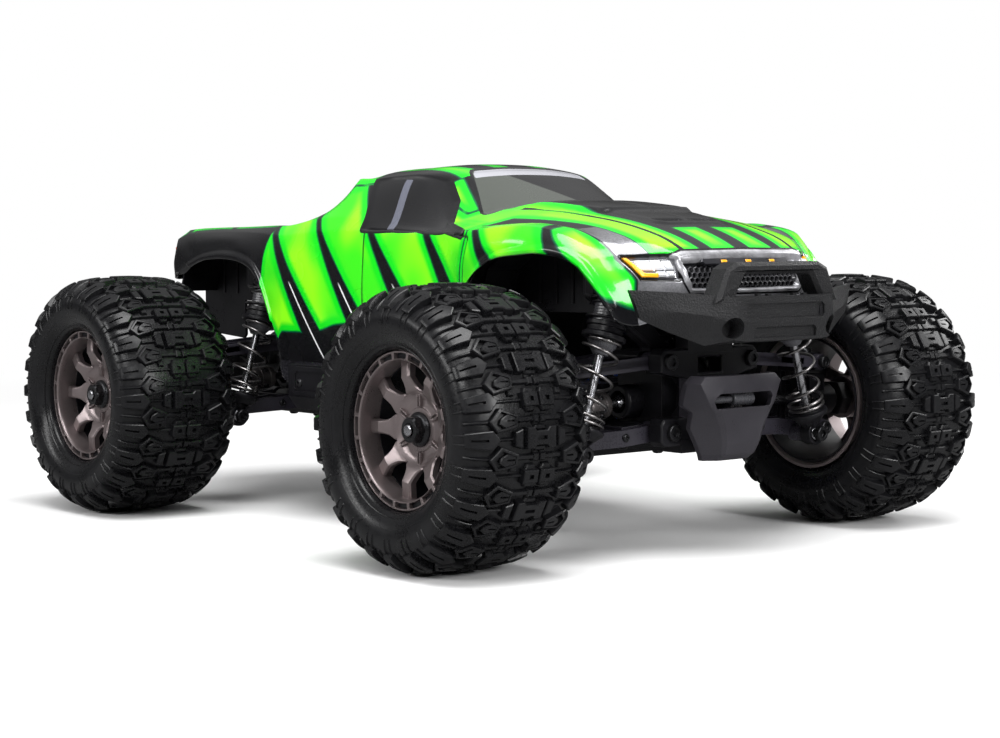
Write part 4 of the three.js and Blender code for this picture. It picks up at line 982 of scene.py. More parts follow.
# Relief in millimetres along the normal.
relief = -(0.75 * soft(glass, 0.7) + 0.25 * soft(abs(glass - 0.9) - 0.2, 0.5))
relief -= 0.55 * soft(screen, 0.8)
relief -= 0.5 * soft(rear_window, 0.8)
relief += (2.0 * soft(scoop + 0.8, 1.5) * np.clip((LENGTH - 231.0) / 13.0, 0, 1)
           * (1 - 0.15 * np.clip((LENGTH - 250) / 20, 0, 1)))
relief += 0.9 * soft(scoop_step + 0.5, 1.1) * np.clip((LENGTH - 262) / 10, 0, 1)
relief -= 1.5 * soft(scoop_step + 3.2, 0.6) * soft(abs(LENGTH - 288.6) - 2.0, 0.8)
relief -= 1.7 * soft(lamp - 0.1, 0.5)
relief += 0.55 * soft(abs(grille_frame + 1.2) - 0.7, 0.7)
relief -= 2.4 * soft(grille - 0.1, 0.5)
relief -= 0.9 * soft(tail, 0.5)
relief -= 0.7 * soft(gate, 0.7)
relief -= 0.42 * soft(abs(door) - 0.32, 0.5)
for i in range(6):
    relief += 0.45 * np.where(bed < -1.0, soft(abs(GIRTH - (5.0 + 5.2 * i)) - 1.0, 0.9), 0)
relief += 0.8 * soft(arch - 2.6, 1.6)

# Paint layout; the flank slashes are made in the material.
GREEN_PANELS = (
    "100,43 246,43 246,100 100,100",                                    # flank and door
    "246,50 318,50 326,45 360,45 360,100 246,100",                      # front wing
    "18,36 112,36 100,49 18,48",                                        # rear shoulder
    "108,20 165,20 165,43 108,43",                                      # behind the cab
    "230,26 318,19 318,39 250,42 246,50 226,50 226,36",                 # bonnet shoulder
    "296,3 318,3 318,15 296,15",                                        # bonnet stripes
    "206,31 226,38 226,43 206,43",                                      # screen pillar
)
ROOF_STRIPES = ("-40,6 40,6 40,14 -40,14", "-40,22 40,22 40,32 -40,32")     # x, y
on_roof = (GIRTH < 40) & (row_at[:, None] > 11.5) & (row_at[:, None] < 19.2)
FIELDS = dict(
    pu=LENGTH, pv=SIGNED_GIRTH,
    green=np.minimum(layer(*GREEN_PANELS), layer(*ROOF_STRIPES, x=X, y=ABS_Y, where=on_roof)),
    silver=layer("318,-1 318,49.5 326,44.5 360,44.5 360,-1", "290,39 318,39 318,49.5 290,49.5"),
    char=layer("-90,0 100,0 100,60 -90,60", x=X, y=Z, where=GIRTH > 37.0),
    glass=glass, pillar=pillar, screen=screen, band=band, rearw=rear_window,
    scoop=layer("231,-1 231,23 262,20 292,15 296,-1", "240,30 318,25.5 318,27.5 240,32.5"),
    lamp=lamp, amber=amber, gframe=grille_frame, grille=grille, tail=tail, gate=gate,
    arch=arch, door=door, bed=bed)


def shell_mesh():
    index = np.arange(ROWS * COLUMNS).reshape(ROWS, COLUMNS)
    quads = np.stack([index[:-1, :-1].ravel(), index[1:, :-1].ravel(),
                      index[1:, 1:].ravel(), index[:-1, 1:].ravel()], 1)
    surface = BASE + normals * relief[..., None]
    mesh = bpy.data.meshes.new("body_shell_painted")
    mesh.from_pydata((surface.reshape(-1, 3) * MM).tolist(), [], quads.tolist())
    for name, values in FIELDS.items():
        data = mesh.attributes.new(name, "FLOAT", "POINT").data
        data.foreach_set("value", np.ascontiguousarray(values, np.float32).ravel())
    outward(mesh, flip_down=True)
    return mesh


def paint_material():
    # linear colours
    BLACK, TRIM, GLASS = (0.0055, 0.0055, 0.0065), (0.004, 0.004, 0.005), (0.0035, 0.0035, 0.0045)
    CHARCOAL, SILVER, FRAME = (0.036, 0.035, 0.042), (0.21, 0.21, 0.225), (0.36, 0.36, 0.38)
    DEEP, GREEN, LIME = (0.0, 0.055, 0.028), (0.006, 0.66, 0.012), (0.25, 0.93, 0.010)
    # the last grey here is the painted reflection on the windscreen
    PINSTRIPE, PILLAR, SCREEN_REFLECTION = (0.72, 0.73, 0.74), (0.10, 0.105, 0.135), (0.060, 0.066, 0.058)
    # slashes: angle and spacing (mm)
    RAKE, SPACING = math.radians(40), 27.0

    mat = Material("paint_shell_gloss")
    calc, ramp, times, noise = mat.calc, mat.ramp, mat.times, mat.noise
    field = {name: mat.node("Attribute", attribute_name=name).outputs["Fac"]
             for name in FIELDS if name != "amber"}
    colour = BLACK

    def inside(name, offset=0.0, blur=0.12):
        """1 within an outline grown by offset."""
        return ramp(field[name], offset - blur, offset + blur, low=1, high=0)

    def cover(mask, over):
        nonlocal colour
        colour = mat.mix(mask, colour, over)

    def scaled(base, amount):
        node = mat.node("VectorMath", operation="SCALE")
        node.inputs[0].default_value = base
        mat.link(amount, node.inputs["Scale"])
        return node.outputs[0]

    # charcoal and silver carry a metallic flake, 0.45 mm across
    cells = mat.node("TexVoronoi", feature="F1")
    mat.link(mat.coords, cells.inputs["Vector"])
    cells.inputs["Scale"].default_value = 1000.0 / 0.45
    flake = mat.node("SeparateColor")
    mat.link(cells.outputs["Color"], flake.inputs[0])
    spark = ramp(flake.outputs[0], 0.0, 1.0, low=0.6, high=1.7)
    shade = ramp(noise(26, detail=2), 0.35, 0.65, low=0.55, high=1.25)
    cover(inside("char"), scaled(CHARCOAL, times(spark, shade)))
    soft_spark = ramp(flake.outputs[1], 0, 1, low=0.82, high=1.2)
    cover(inside("silver"), scaled(SILVER, times(soft_spark, shade)))

    # slashes on the flank: raked parallel gaps that widen towards the sill
    position = mat.node("SeparateXYZ")
    mat.link(mat.coords, position.inputs[0])
    x, z = times(position.outputs["X"], 1000.0), times(position.outputs["Z"], 1000.0)
    flank = ramp(calc("ABSOLUTE", field["pv"]), 42.6, 43.4)
    along = calc("ADD", times(x, math.cos(RAKE)), times(z, math.sin(RAKE)))
    cell = calc("FRACT", calc("DIVIDE", calc("ADD", along, 400.0), SPACING))
    from_line = times(calc("ABSOLUTE", calc("SUBTRACT", cell, 0.5)), SPACING)
    gap = ramp(z, 112, 56, low=0.9, high=6.6)
    slash = calc("ADD", calc("SUBTRACT", gap, from_line), FAR)
    slash = calc("SUBTRACT", times(slash, flank), FAR)
    depth = field["slashed"] = calc("MAXIMUM", field["green"], slash)
    # green darkens at its edge and turns lime in patches further in
    green = mat.mix(ramp(depth, -1.3, -0.2, low=1, high=0, smooth=True), DEEP, GREEN)
    patches = ramp(noise(34, detail=1), 0.40, 0.58, low=0.15, high=1, smooth=True)
    well_in = ramp(depth, -5.2, -2.3, low=1, high=0, smooth=True)
    green = mat.mix(times(well_in, patches), green, LIME)
    cover(inside("slashed"), green)
    # pinstripe down the middle of the wider gaps, behind the front wing
    stripe = times(ramp(from_line, 0.28, 0.42, low=1, high=0), flank)
    wide_gap = times(ramp(gap, 3.0, 3.2), ramp(z, 61, 62))
    cover(times(times(stripe, wide_gap), ramp(field["pu"], 250, 252, low=1, high=0)), PINSTRIPE)

    # black caps, window surrounds, arch edge and door line
    cover(inside("scoop"), BLACK)
    for name, offset in (("glass", 1.5), ("screen", 1.2), ("rearw", 1.1), ("lamp", 0.8),
                         ("gframe", 0.7), ("tail", 0.7)):
        cover(inside(name, offset), TRIM)
    cover(times(inside("arch", offset=0.55, blur=0.2), 0.9), BLACK)
    cover(ramp(calc("ABSOLUTE", field["door"]), 0.25, 0.75, low=0.85, high=0), BLACK)
    cover(inside("glass"), GLASS)
    cover(inside("pillar"), PILLAR)
    # windscreen, paler on one side of a diagonal: a painted reflection
    diagonal = calc("SUBTRACT", calc("SUBTRACT", field["pv"], -13.0),
                    times(calc("SUBTRACT", field["pu"], 208), 1.15))
    painted_reflection = ramp(diagonal, -0.6, 0.6, low=1, high=0)
    cover(inside("screen"), mat.mix(painted_reflection, TRIM, SCREEN_REFLECTION))
    cover(inside("band"), (0.34, 0.34, 0.37))
    cover(inside("rearw"), TRIM)
    # nose and tail details
    cover(inside("gframe"), scaled(FRAME, ramp(noise(5), 0.3, 0.7, low=0.5, high=1.2)))
    cover(inside("grille"), (0.006, 0.006, 0.008))
    cover(inside("lamp"), (0.09, 0.09, 0.10))
    cover(inside("tail"), (0.10, 0.01, 0.005))
    cover(inside("gate"), (0.010, 0.010, 0.011))
    speckle = ramp(noise(0.6, detail=1), 0.4, 0.6, low=0.5, high=1)
    cover(times(inside("bed"), speckle), (0.013, 0.013, 0.014))

    metal = times(calc("MAXIMUM", inside("silver"), inside("char")),
                  calc("SUBTRACT", 1.0, inside("slashed")))
    mat.set(Base_Color=colour,
            Roughness=ramp(noise(18, detail=2), 0.3, 0.7, low=0.20, high=0.30),
            Metallic=times(metal, 0.45), Normal=mat.bump(noise(2.2, detail=2), 0.012),
            Specular_IOR_Level=0.25, Coat_Weight=0.75, Coat_IOR=1.38,
            Coat_Roughness=ramp(noise(40, detail=2), 0.3, 0.7, low=0.03, high=0.08))
    return mat.material


painted = shell_mesh()
painted.materials.append(paint_material())
painted.materials.append(moulded("shell_backing", (0.010, 0.010, 0.011), rough=0.5, grain=1.5,
                                 depth=0.02, vary=0.2))
smooth_shading(painted)
shell = place_object("body_shell_painted", painted)
thickness = shell.modifiers.new("wall", "SOLIDIFY")
thickness.thickness = 1.15 * MM
thickness.offset = -1
thickness.use_even_offset = False
thickness.material_offset = 1
thickness.material_offset_rim = 0
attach(shell, "body_shell")
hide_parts("body_shell")

# ---------------------------------------------------------------- nose and tail fittings
# Table of the nose's x over a 1 mm grid of y and z.
TABLE_Y, TABLE_Z = -56, 82
nose_rows = [r for r in range(ROWS) if 28 <= row_at[r] <= 32][:: 2]


def surface_x(y, z):
    xs, zs = (np.array([np.interp(y, BASE[r, :, 1], BASE[r, :, axis]) for r in nose_rows])
              for axis in (0, 2))
    order = np.argsort(zs)
    return float(np.interp(z, zs[order], xs[order]))


NOSE_X = np.array([[surface_x(y, z) for y in np.arange(TABLE_Y, 56.5, 1.0)]
                   for z in np.arange(TABLE_Z, 106.1, 1.0)])


def nose_x(y, z):
    across = np.clip(y - TABLE_Y, 0, NOSE_X.shape[1] - 1.001)
    upward = np.clip(z - TABLE_Z, 0, NOSE_X.shape[0] - 1.001)
    i, j = int(upward), int(across)
    a, b = upward - i, across - j
    low = NOSE_X[i, j] * (1 - b) + NOSE_X[i, j + 1] * b
    high = NOSE_X[i + 1, j] * (1 - b) + NOSE_X[i + 1, j + 1] * b
    return low * (1 - a) + high * a


def on_nose(point):
    """Maps (y, z, height) onto the nose."""
    y, z, height = point
    if abs(y) > LAMP_Y:
        y = math.copysign(LAMP_Y + (abs(y) - LAMP_Y) * SQUEEZE, y)
    normal = np.array([1.0, -(nose_x(y + .5, z) - nose_x(y - .5, z)),
                       -(nose_x(y, z + .5) - nose_x(y, z - .5))])
    normal /= np.linalg.norm(normal)
    return tuple(np.array([nose_x(y, z), y, z]) + normal * height)


def nose_piece(kit, outline, levels):
    kit.merge(wrap_solid(flat_solid(outline, pts(levels)), on_nose, range(-50, 51, 3)))


LENS = moulded("lamp_lens", (0.62, 0.63, 0.66), rough=0.10, grain=1.2, depth=0.02, coat=1.0,
               vary=0.06)
REFLECTOR = moulded("lamp_reflector", (0.45, 0.45, 0.47), rough=0.2, depth=0.004,
                    metal=1.0, vary=0.15)
AMBER_LENS = moulded("lens_amber", (0.86, 0.36, 0.004), rough=0.16, grain=0.8, depth=0.01,
                     coat=1.0, vary=0.08)
TAIL_LENS = moulded("lens_tail", (0.55, 0.05, 0.006), rough=0.16, grain=0.8, depth=0.02,
                    coat=1.0, vary=0.1)
for hand, side in SIDES:
    kit = Kit()
    for z0, z1, slot in ((93.4, 97.0, 0), (97.6, 100.2, 1), (100.8, 104.6, 0)):
        outline = [(42.7, z0), (47.0, z0), (47.2, z1), (42.9, z1)]
        kit.prism("x", -148.7, -144.6, to_side(outline, side), slot=slot)
    kit.obj(f"tail_lamp_{hand}", "body_shell", [TAIL_LENS, LENS], "body_paint", bevel=0.3)
MESH = moulded("grille_mesh", (0.045, 0.045, 0.050), rough=0.28, grain=0.4, depth=0.006, coat=0.4)


def honeycomb():
    pitch = 2.35
    kit = Kit()
    for i in range(-13, 14):
        for j in range(6):
            y = i * pitch + (pitch / 2 if j % 2 else 0)
            z = 91.6 + j * pitch * 0.866 * 0.92
            if abs(y) > 24.6 + (z - 91) * 0.22 or z > 98.9:
                continue

            def ring(wide, tall, height):
                angles = [PI / 6 + k * PI / 3 for k in range(6)]
                return [on_nose((y + pitch * wide * math.cos(a), z + pitch * tall * math.sin(a),
                                 height)) for a in angles]
            kit.rings([ring(0.577, 0.53, -2.6), ring(0.577, 0.53, -1.5),
                       ring(0.45, 0.42, -1.35), ring(0.45, 0.42, -2.6)], wrap=True)
    return kit


honeycomb().obj("grille_honeycomb", "body_shell", MESH, "black_plastic", angle=30)
# light bar across the top of the grille with three amber lamps
kit = Kit()
nose_piece(kit, pts("-19.5,98.4 19.5,98.4 21,99.4 20.2,100.6 -20.2,100.6 -21,99.4"),
           "-2.2,0 -0.1,0 0.25,0.35")
kit.obj("grille_light_bar", "body_shell", DARK_METAL, "black_plastic", bevel=0.12)
kit = Kit()
for y in (-11, 0.6, 12):
    nose_piece(kit, rect(y - 1.3, y + 1.3, 98.95, 100.0), "-0.6,0 0.35,0 0.55,0.2")
kit.obj("grille_bar_lamps", "body_shell", AMBER_LENS, "body_paint", bevel=0.08)
# Fluted lamps: y from and to, z from and to.
LAMPS = ((32.0, 35.2, 97.3, 100.2), (35.8, 39.4, 97.2, 100.3), (40.0, 44.6, 97.1, 100.3),
         (31.8, 34.6, 94.9, 96.7), (35.2, 38.6, 94.8, 96.6))
FLUTE = 0.8
for hand, side in SIDES:
    kit = Kit()
    nose_piece(kit, to_side(pts("31,94.3 31,100.3 33.6,101 48.4,100.5 44.6,94.5"), side),
               "-2.2,0 -1.35,0 -1.25,0.2")
    kit.obj(f"headlamp_{hand}_bowl", "body_shell", REFLECTOR, "bright_steel", bevel=0.1)
    kit = Kit()
    for y0, y1, z0, z1 in LAMPS:
        quad = [(y0, z0), (y1, z0), (y1 + 0.5, z1), (y0 + 0.5, z1)]
        nose_piece(kit, to_side(quad, side), "-1.6,0 -0.55,0 -0.2,0.5")
        for i in range(int((y1 - y0) / FLUTE)):
            y = y0 + 0.5 + i * FLUTE
            quad = [(y, z0 + .4), (y + .3, z0 + .4), (y + .7, z1 - .4), (y + .4, z1 - .4)]
            nose_piece(kit, to_side(quad, side), "-0.6,0 -0.02,0.05")
    kit.obj(f"headlamp_{hand}_lamps", "body_shell", LENS, "bright_steel", bevel=0.08)
    kit = Kit()
    corner = pts("49.2,100.9 47.6,100.9 43.6,96 38.4,95.9 38.9,94.5 44.9,94.6")
    nose_piece(kit, to_side(corner, side), "-1.4,0 0.05,0 0.3,0.3")
    kit.obj(f"headlamp_{hand}_amber_corner", "body_shell", AMBER_LENS, "body_paint", bevel=0.08)


# ---------------------------------------------------------------- bumpers and skid plate
def bar_rows(stations):
    """Rings across a bumper from (y, x-z section) stations, mirrored to -y."""
    def row(y, section):
        return [(x, y, z) for x, z in pts(section)]
    return ([row(-y, s) for y, s in stations[:0:-1]] + [row(y, s) for y, s in stations])


FRONT_MIDDLE = "162,88.3 162,79.5 161.2,73.6 154,72.8 154.5,78 157,88.3"
FRONT_STATIONS = [
    (0, FRONT_MIDDLE),
    (18, FRONT_MIDDLE),
    (22.9, "161.6,88.3 161.9,79.2 160.2,74.2 152.6,72.6 153.2,78 156,88.3"),
    (29, "155.9,88.9 157.2,82 152.8,72.3 149,73.6 149.2,80 151.2,88.9"),
    (40, "149.8,89.9 151.2,83.6 147.6,76.8 144.8,78 144.8,83 146.2,89.9")]
FRONT_TIP = pts("142.9,53.2,90.8 143.9,51,85.4 144,49.4,81.1 142.2,48.8,81.8 141.2,50,85.6 "
                "140.9,52.2,90.6")


def front_bumper():
    tip = [(x, -y, z) for x, y, z in FRONT_TIP]
    bar = Kit().rings([tip] + bar_rows(FRONT_STATIONS) + [FRONT_TIP])
    cutters = [Kit().cyl((154.5, side * 22.7, 78.0), (166, side * 23.6, 78.2), 3.4, 36)
               for side in (1, -1)]
    cutters.append(Kit().prism("x", 161.2, 163, pts(
        "-18.6,81.9 -17.4,81 17.4,81 18.6,81.9 18.6,85 17.4,85.9 -17.4,85.9 -18.6,85")))
    cutters.append(Kit().prism("x", 160.5, 162, pts(
        "-15,74.6 15,74.6 15,77.2 13.8,78.2 -13.8,78.2 -15,77.2")))
    kit = carve(bar, cutters)
    # hoop over the bar, then the bracket behind it
    kit.prism("x", 151.6, 158.8,
              pts("-29.2,86.2 29.2,86.2 24.2,97.3 19.6,99.4 -19.6,99.4 -24.2,97.3"),
              [pts("-19.9,88.2 19.9,88.2 16,94.8 14.8,95.4 -14.8,95.4 -16,94.8")],
              top=(1.3, 1.1))
    for side in (1, -1):
        for y in (6, 11):
            kit.box(158.6, 160.0, side * y - 0.8, side * y + 0.8, 87.2, 88.9)
    kit.prism("y", -8.6, 8.6, pts("127.6,72.9 156,72.9 156,79 139,79 134,76.8 127.6,76.8"))
    for side in (1, -1):
        kit.prism("y", *sorted((side * 9, side * 11)),
                  pts("134,71.5 155,73.2 155,81 146,82.5 134,78.6"))
        kit.screw((142, side * 11.0, 76.5), (0, side, 0), 1.9, 1)
    return kit


front_bumper().obj("front_bumper_moulded", "chassis", [TEXTURED, SCREW], "black_plastic",
                   "front_bumper", bevel=0.42, segments=3, angle=24)
Kit().prism("x", 161.0, 161.75, pts("16.4,81.9 17.3,81.9 18,84.9 17,84.9")).obj(
    "front_bumper_inserts", "chassis", PLASTIC, "black_plastic", bevel=0.1)

# Skid plate rows from the top down: z, then y,x points from the middle out.
SKID_ROWS = [
    (61.2, "6,142.6 16.6,141.2 18.2,137.2"), (58.6, "9,143.2 19.4,141.5 20.8,136.6"),
    (54.6, "11.4,143.5 17.2,142 20.6,134.8"), (51.2, "11.8,143.5 15.4,142.2 20.4,134"),
    (48.8, "11.4,143.4 13.4,142.4 18.2,136.4"), (43.4, "8.8,143 10.6,142 17.4,134.4"),
    (38.2, "7.8,142.4 9.2,141.4 14.6,134.8"), (34.2, "6.8,140.6 8.2,139.8 12.6,134.8"),
    (32.0, "6,137.6 7.4,137.2 11.4,134.2")]
SKID_THICK = 2.1


def skid_plate():
    rows = []
    for z, text in SKID_ROWS:
        half = pts(text)
        rows.append([(x, y, z) for y, x in flipped(half) + half])
    count, width = len(rows), len(rows[0])
    size = count * width
    verts = [(x - back, y, z) for back in (0, SKID_THICK) for row in rows for x, y, z in row]
    faces = []
    for i in range(count - 1):
        for a in range(i * width, i * width + width - 1):
            below = a + width
            faces += [(a, a + 1, below + 1, below),
                      (a + size, below + size, below + 1 + size, a + 1 + size)]
    border = (list(range(width)) + [i * width + width - 1 for i in range(1, count)]
              + [(count - 1) * width + j for j in range(width - 2, -1, -1)]
              + [i * width for i in range(count - 2, 0, -1)])
    faces += [(a, b, b + size, a + size) for a, b in zip(border, border[1:] + border[:1])]
    window = pts("-14.2,53 -11.8,55.2 12.6,55.2 14.2,53.4 12.2,50.2 -13,50.2")
    kit = carve(Kit().add(verts, faces), [Kit().prism("x", 130, 150, window)])
    for z0, z1 in ((56.2, 59.6), (35.2, 38.0)):
        kit.box(127.6, 140.6, -7.4, 7.4, z0, z1)
    for side in (1, -1):
        kit.prism("y", side * 15.2 - 0.9, side * 15.2 + 0.9,
                  pts("127.8,47 136,46.5 139.8,52 139,58.6 127.8,60"))
    return kit


skid_plate().obj("front_skid_plate_faceted", "chassis", SKID_PLASTIC, "black_plastic",
                 "front_skid_plate", bevel=0.35, segments=3, angle=14)
kit = Kit()
kit.cyl((137.6, -1.5, 52.7), (137.6, 8.5, 52.7), 2.35, 32, chamfer=0.3)
kit.cyl((137.6, -10.5, 52.7), (137.6, -1.5, 52.7), 1.3, 24, chamfer=0.2)
kit.obj("front_skid_cross_pin", "chassis", SHOCK_GREY, "black_metal", bevel=0.12)

REAR_MIDDLE = "-162,60.6 -162,49.6 -159.5,46.2 -155.5,46.2 -156.5,54 -157,62"
REAR_STATIONS = [
    (0, REAR_MIDDLE),
    (19.5, REAR_MIDDLE),
    (28, "-158.6,60.8 -158.8,51 -156.4,47.6 -153.2,47.6 -153.8,54 -154.4,61.8"),
    (38, "-153.8,60.8 -154,54 -152.6,51.2 -150.6,51.2 -150.8,55 -151.2,61.6")]


def rear_bumper():
    """Tapered bar on a bracket."""
    recess = pts("-16,51 16,51 17,52.4 17,57.6 16,59 -16,59 -17,57.6 -17,52.4")
    cutters = [Kit().prism("x", -163, -161.2, recess)]
    cutters += [Kit().cyl((-166, side * 23, 53.6), (-148, side * 23, 53.6), 2.2, 28)
                for side in (1, -1)]
    kit = carve(Kit().rings(bar_rows(REAR_STATIONS)), cutters)
    kit.prism("y", -8.8, 8.8, pts("-124.6,40.4 -156,46.4 -156.6,52 -140,47.4 -124.6,47.2"))
    for side in (1, -1):
        kit.prism("y", *sorted((side * 9, side * 10.8)),
                  pts("-128,39 -156.5,45.6 -157,56 -143,50.6 -128,48.6"))
        kit.screw((-138, side * 10.8, 45.4), (0, side, 0), 1.9, 1)
    return kit


rear_bumper().obj("rear_bumper_moulded", "chassis", [TEXTURED, SCREW], "black_plastic",
                  "rear_bumper", bevel=0.42, segments=3, angle=24)

# ---------------------------------------------------------------- suspension corners
# Every part is built for a left corner with the axle at x = 0. Hinges are (y, z).
LOWER_IN, LOWER_OUT, UPPER_IN, UPPER_OUT = (18, 41.5), (70, 37.3), (19.5, 65.5), (71.5, 61.3)
ARM_TILT = math.atan2(LOWER_OUT[1] - LOWER_IN[1], LOWER_OUT[0] - LOWER_IN[0])
ARM_LENGTH = math.hypot(LOWER_OUT[0] - LOWER_IN[0], LOWER_OUT[1] - LOWER_IN[1])
DRIVE_IN, DRIVE_OUT = (20.5, 50.9), (72.5, WHEEL_Z)     # shaft joints (y, z)
KINGPIN_Y = 72.5
ROD_X = -16
SHOCK_TOP, SHOCK_EYE = np.array([18, 38, 98.0]), np.array([18, 57, 36.5])
SHOCK_U, SHOCK_V, SHOCK_AXIS = basis(SHOCK_EYE - SHOCK_TOP)
WHEEL_CENTRE = (0, 0, WHEEL_Z)


def tilted(kit, hinge):
    cos, sin = math.cos(ARM_TILT), math.sin(ARM_TILT)
    y0, z0 = hinge
    return Kit().merge(kit, lambda v: (v[0], y0 + (v[1] - y0) * cos - (v[2] - z0) * sin,
                                       z0 + (v[1] - y0) * sin + (v[2] - z0) * cos))


def lower_arm():
    kit = Kit()
    y, z = LOWER_IN
    outer_y = y + ARM_LENGTH
    kit.prism("z", z - 1.5, z + 1.5,
              pts("-15.4,20.5 -10.2,20.5 -9,29 9,29 10.2,20.5 15.4,20.5 15.5,34 9.8,46 9.8,58 "
                  "11.2,62.6 -11.2,62.6 -12.5,40"),
              [pts("-8.4,34.5 -9.2,45.5 -1.4,45.5 -1.4,34.5"),
               pts("1.4,34.5 1.4,45.5 6.2,44.4 9.4,35.6")])
    border = pts("-15.6,20.4 -10.4,20.4 -9.1,28.6 9.1,28.6 10.4,20.4 15.6,20.4 15.6,34 10,46.2 "
                 "10,57.6 11.4,62.9 -11.4,62.9 -12.7,40")
    kit.prism("z", z - 3.1, z + 2.6, border, [inset(border, 1.25)])
    kit.prism("z", z - 2.7, z + 2.2, rect(-0.9, 0.9, 29, 62))
    kit.prism("z", z - 2.7, z + 2.2, pts("-12,47.6 9.5,47.6 9.5,49.2 -12,49.2"))
    for x0, x1 in ((-16, -10), (10, 16)):
        kit.pipe((x0, y, z), (x1, y, z), 3.3, 1.9, 36)
    for x0, x1 in ((-11.5, -6.8), (6.8, 11.5)):
        kit.pipe((x0, outer_y, z), (x1, outer_y, z), 3.2, 1.8, 36)
        kit.prism("z", z - 2.6, z + 2.4, rect(x0, x1, 62, outer_y - 2.4))
    kit = tilted(kit, LOWER_IN)
    # shock mount on the forward face with its cap screw, then a small screw
    kit.cyl((8.6, 57, 36.5), (14.8, 57, 36.5), 3.3, 36, chamfer=0.3)
    kit.cyl((9, 57, 36.5), (21.4, 57, 36.5), 1.45, 20, slot=1)
    kit.cap_screw((21.2, 57, 36.5), (1, 0, 0), 2.7, 2.3, 1)
    kit.screw((15.4, 33.0, 40.2), (1, 0, 0), 1.5, 1)
    return kit


def upper_arm():
    kit = Kit()
    y, z = UPPER_IN
    outer_y = y + ARM_LENGTH
    border = pts("-9.8,21.8 -4.8,21.8 -4.4,30 5,34.4 11.2,27 11.6,21.8 15.8,21.8 15,30.4 "
                 "9.6,50 9.6,62 -9.6,62 -9.6,50")
    kit.prism("z", z - 1.2, z + 1.2, border, [pts("-5.2,37 -5.6,54 5,54 7,40")])
    kit.prism("z", z - 2.4, z + 2.2, border, [inset(border, 1.15)])
    kit.prism("z", z - 2.3, z + 1.9, rect(-9, 9, 55.2, 56.8))
    for x0, x1 in ((-10, -4.6), (11.4, 16)):
        kit.pipe((x0, y, z), (x1, y, z), 3.1, 1.8, 36)
    for x0, x1 in ((-9.4, -6.5), (6.5, 9.4)):
        kit.pipe((x0, outer_y, z), (x1, outer_y, z), 3.0, 1.75, 36)
        kit.prism("z", z - 2.1, z + 2.1, rect(x0, x1, 61.4, outer_y - 2.2))
    return tilted(kit, UPPER_IN)


def outer_pins(kit):
    kit.cyl((-12.3, *LOWER_OUT), (12.3, *LOWER_OUT), 1.35, 20, slot=1)
    kit.cyl((-10.3, *UPPER_OUT), (10.3, *UPPER_OUT), 1.3, 20, slot=1)
    for way in (1, -1):
        kit.cap_screw((way * 12.0, *LOWER_OUT), (way, 0, 0), 2.5, 1.9, 1)
        kit.cap_screw((way * 10.0, *UPPER_OUT), (way, 0, 0), 2.4, 1.8, 1)


def caster_block():
    kit = Kit()
    kit.prism("x", -5.6, 5.6, pts("64,57.8 76.4,57.8 77,59 76.4,63.6 74.6,64.7 66,64.7 64,62.6"))
    kit.prism("x", -5.6, 5.6, pts("63.8,40.1 76.2,40.1 76.4,38.6 75.4,34.6 73.8,33.9 66,33.9 "
                                  "63.8,35.6"))
    kit.prism("y", 63.9, 66.7, rect(-5.7, -4.0, 39, 58.4))
    kit.prism("y", 63.9, 66.7, rect(4.0, 5.7, 39, 58.4))
    for z in (60.6, 37.2):
        kit.prism("z", z - 1.1, z + 1.1, rect(-6.4, 6.4, 68.6, 74.6))
    kit.screw((0, KINGPIN_Y, 64.6), (0, 0, 1), 2.8, 1)
    kit.screw((0, KINGPIN_Y, 34.0), (0, 0, -1), 2.8, 1)
    outer_pins(kit)
    return kit


def bearing_collar(kit):
    kit.lathe(pts("3,83.4 4.9,83.4 4.9,84.7 3,84.7"), WHEEL_CENTRE, n=40, slot=1, closed=True)


def knuckle():
    body = Kit().prism("x", -4.9, 4.9, pts("70.1,41 77.4,41 78,42.4 78,55.2 77.2,56.6 70.1,56.6"))
    kit = carve(body, [Kit().cyl((0, 69, WHEEL_Z), (0, 79, WHEEL_Z), 5.3, 40)])
    kit.lathe(pts("5.3,70.4 6.1,70.4 6.1,83.6 5.6,84.4 3,84.4 3,77.6 5.3,77.2"),
              WHEEL_CENTRE, closed=True)
    bearing_collar(kit)
    kit.cyl((0, KINGPIN_Y, 56), (0, KINGPIN_Y, 59), 2.0, 24, slot=1)
    kit.cyl((0, KINGPIN_Y, 39.3), (0, KINGPIN_Y, 41.5), 2.0, 24, slot=1)
    # steering arm reaching back to the tie rod
    kit.prism("z", 49.5, 52.1, pts("-4.2,70.9 -4.2,76.6 -10,75.6 -16,75.5 -18.3,74.2 -18.3,71 "
                                   "-16,70.2"))
    kit.prism("z", 51.8, 53.6, pts("-4.4,72.4 -4.4,74.6 -14.5,73.6 -14.5,72"))
    kit.cyl((ROD_X, KINGPIN_Y, 44.4), (ROD_X, KINGPIN_Y, 50), 1.2, 20, slot=1)
    kit.screw((ROD_X, KINGPIN_Y, 52.0), (0, 0, 1), 2.0, 1)
    return kit


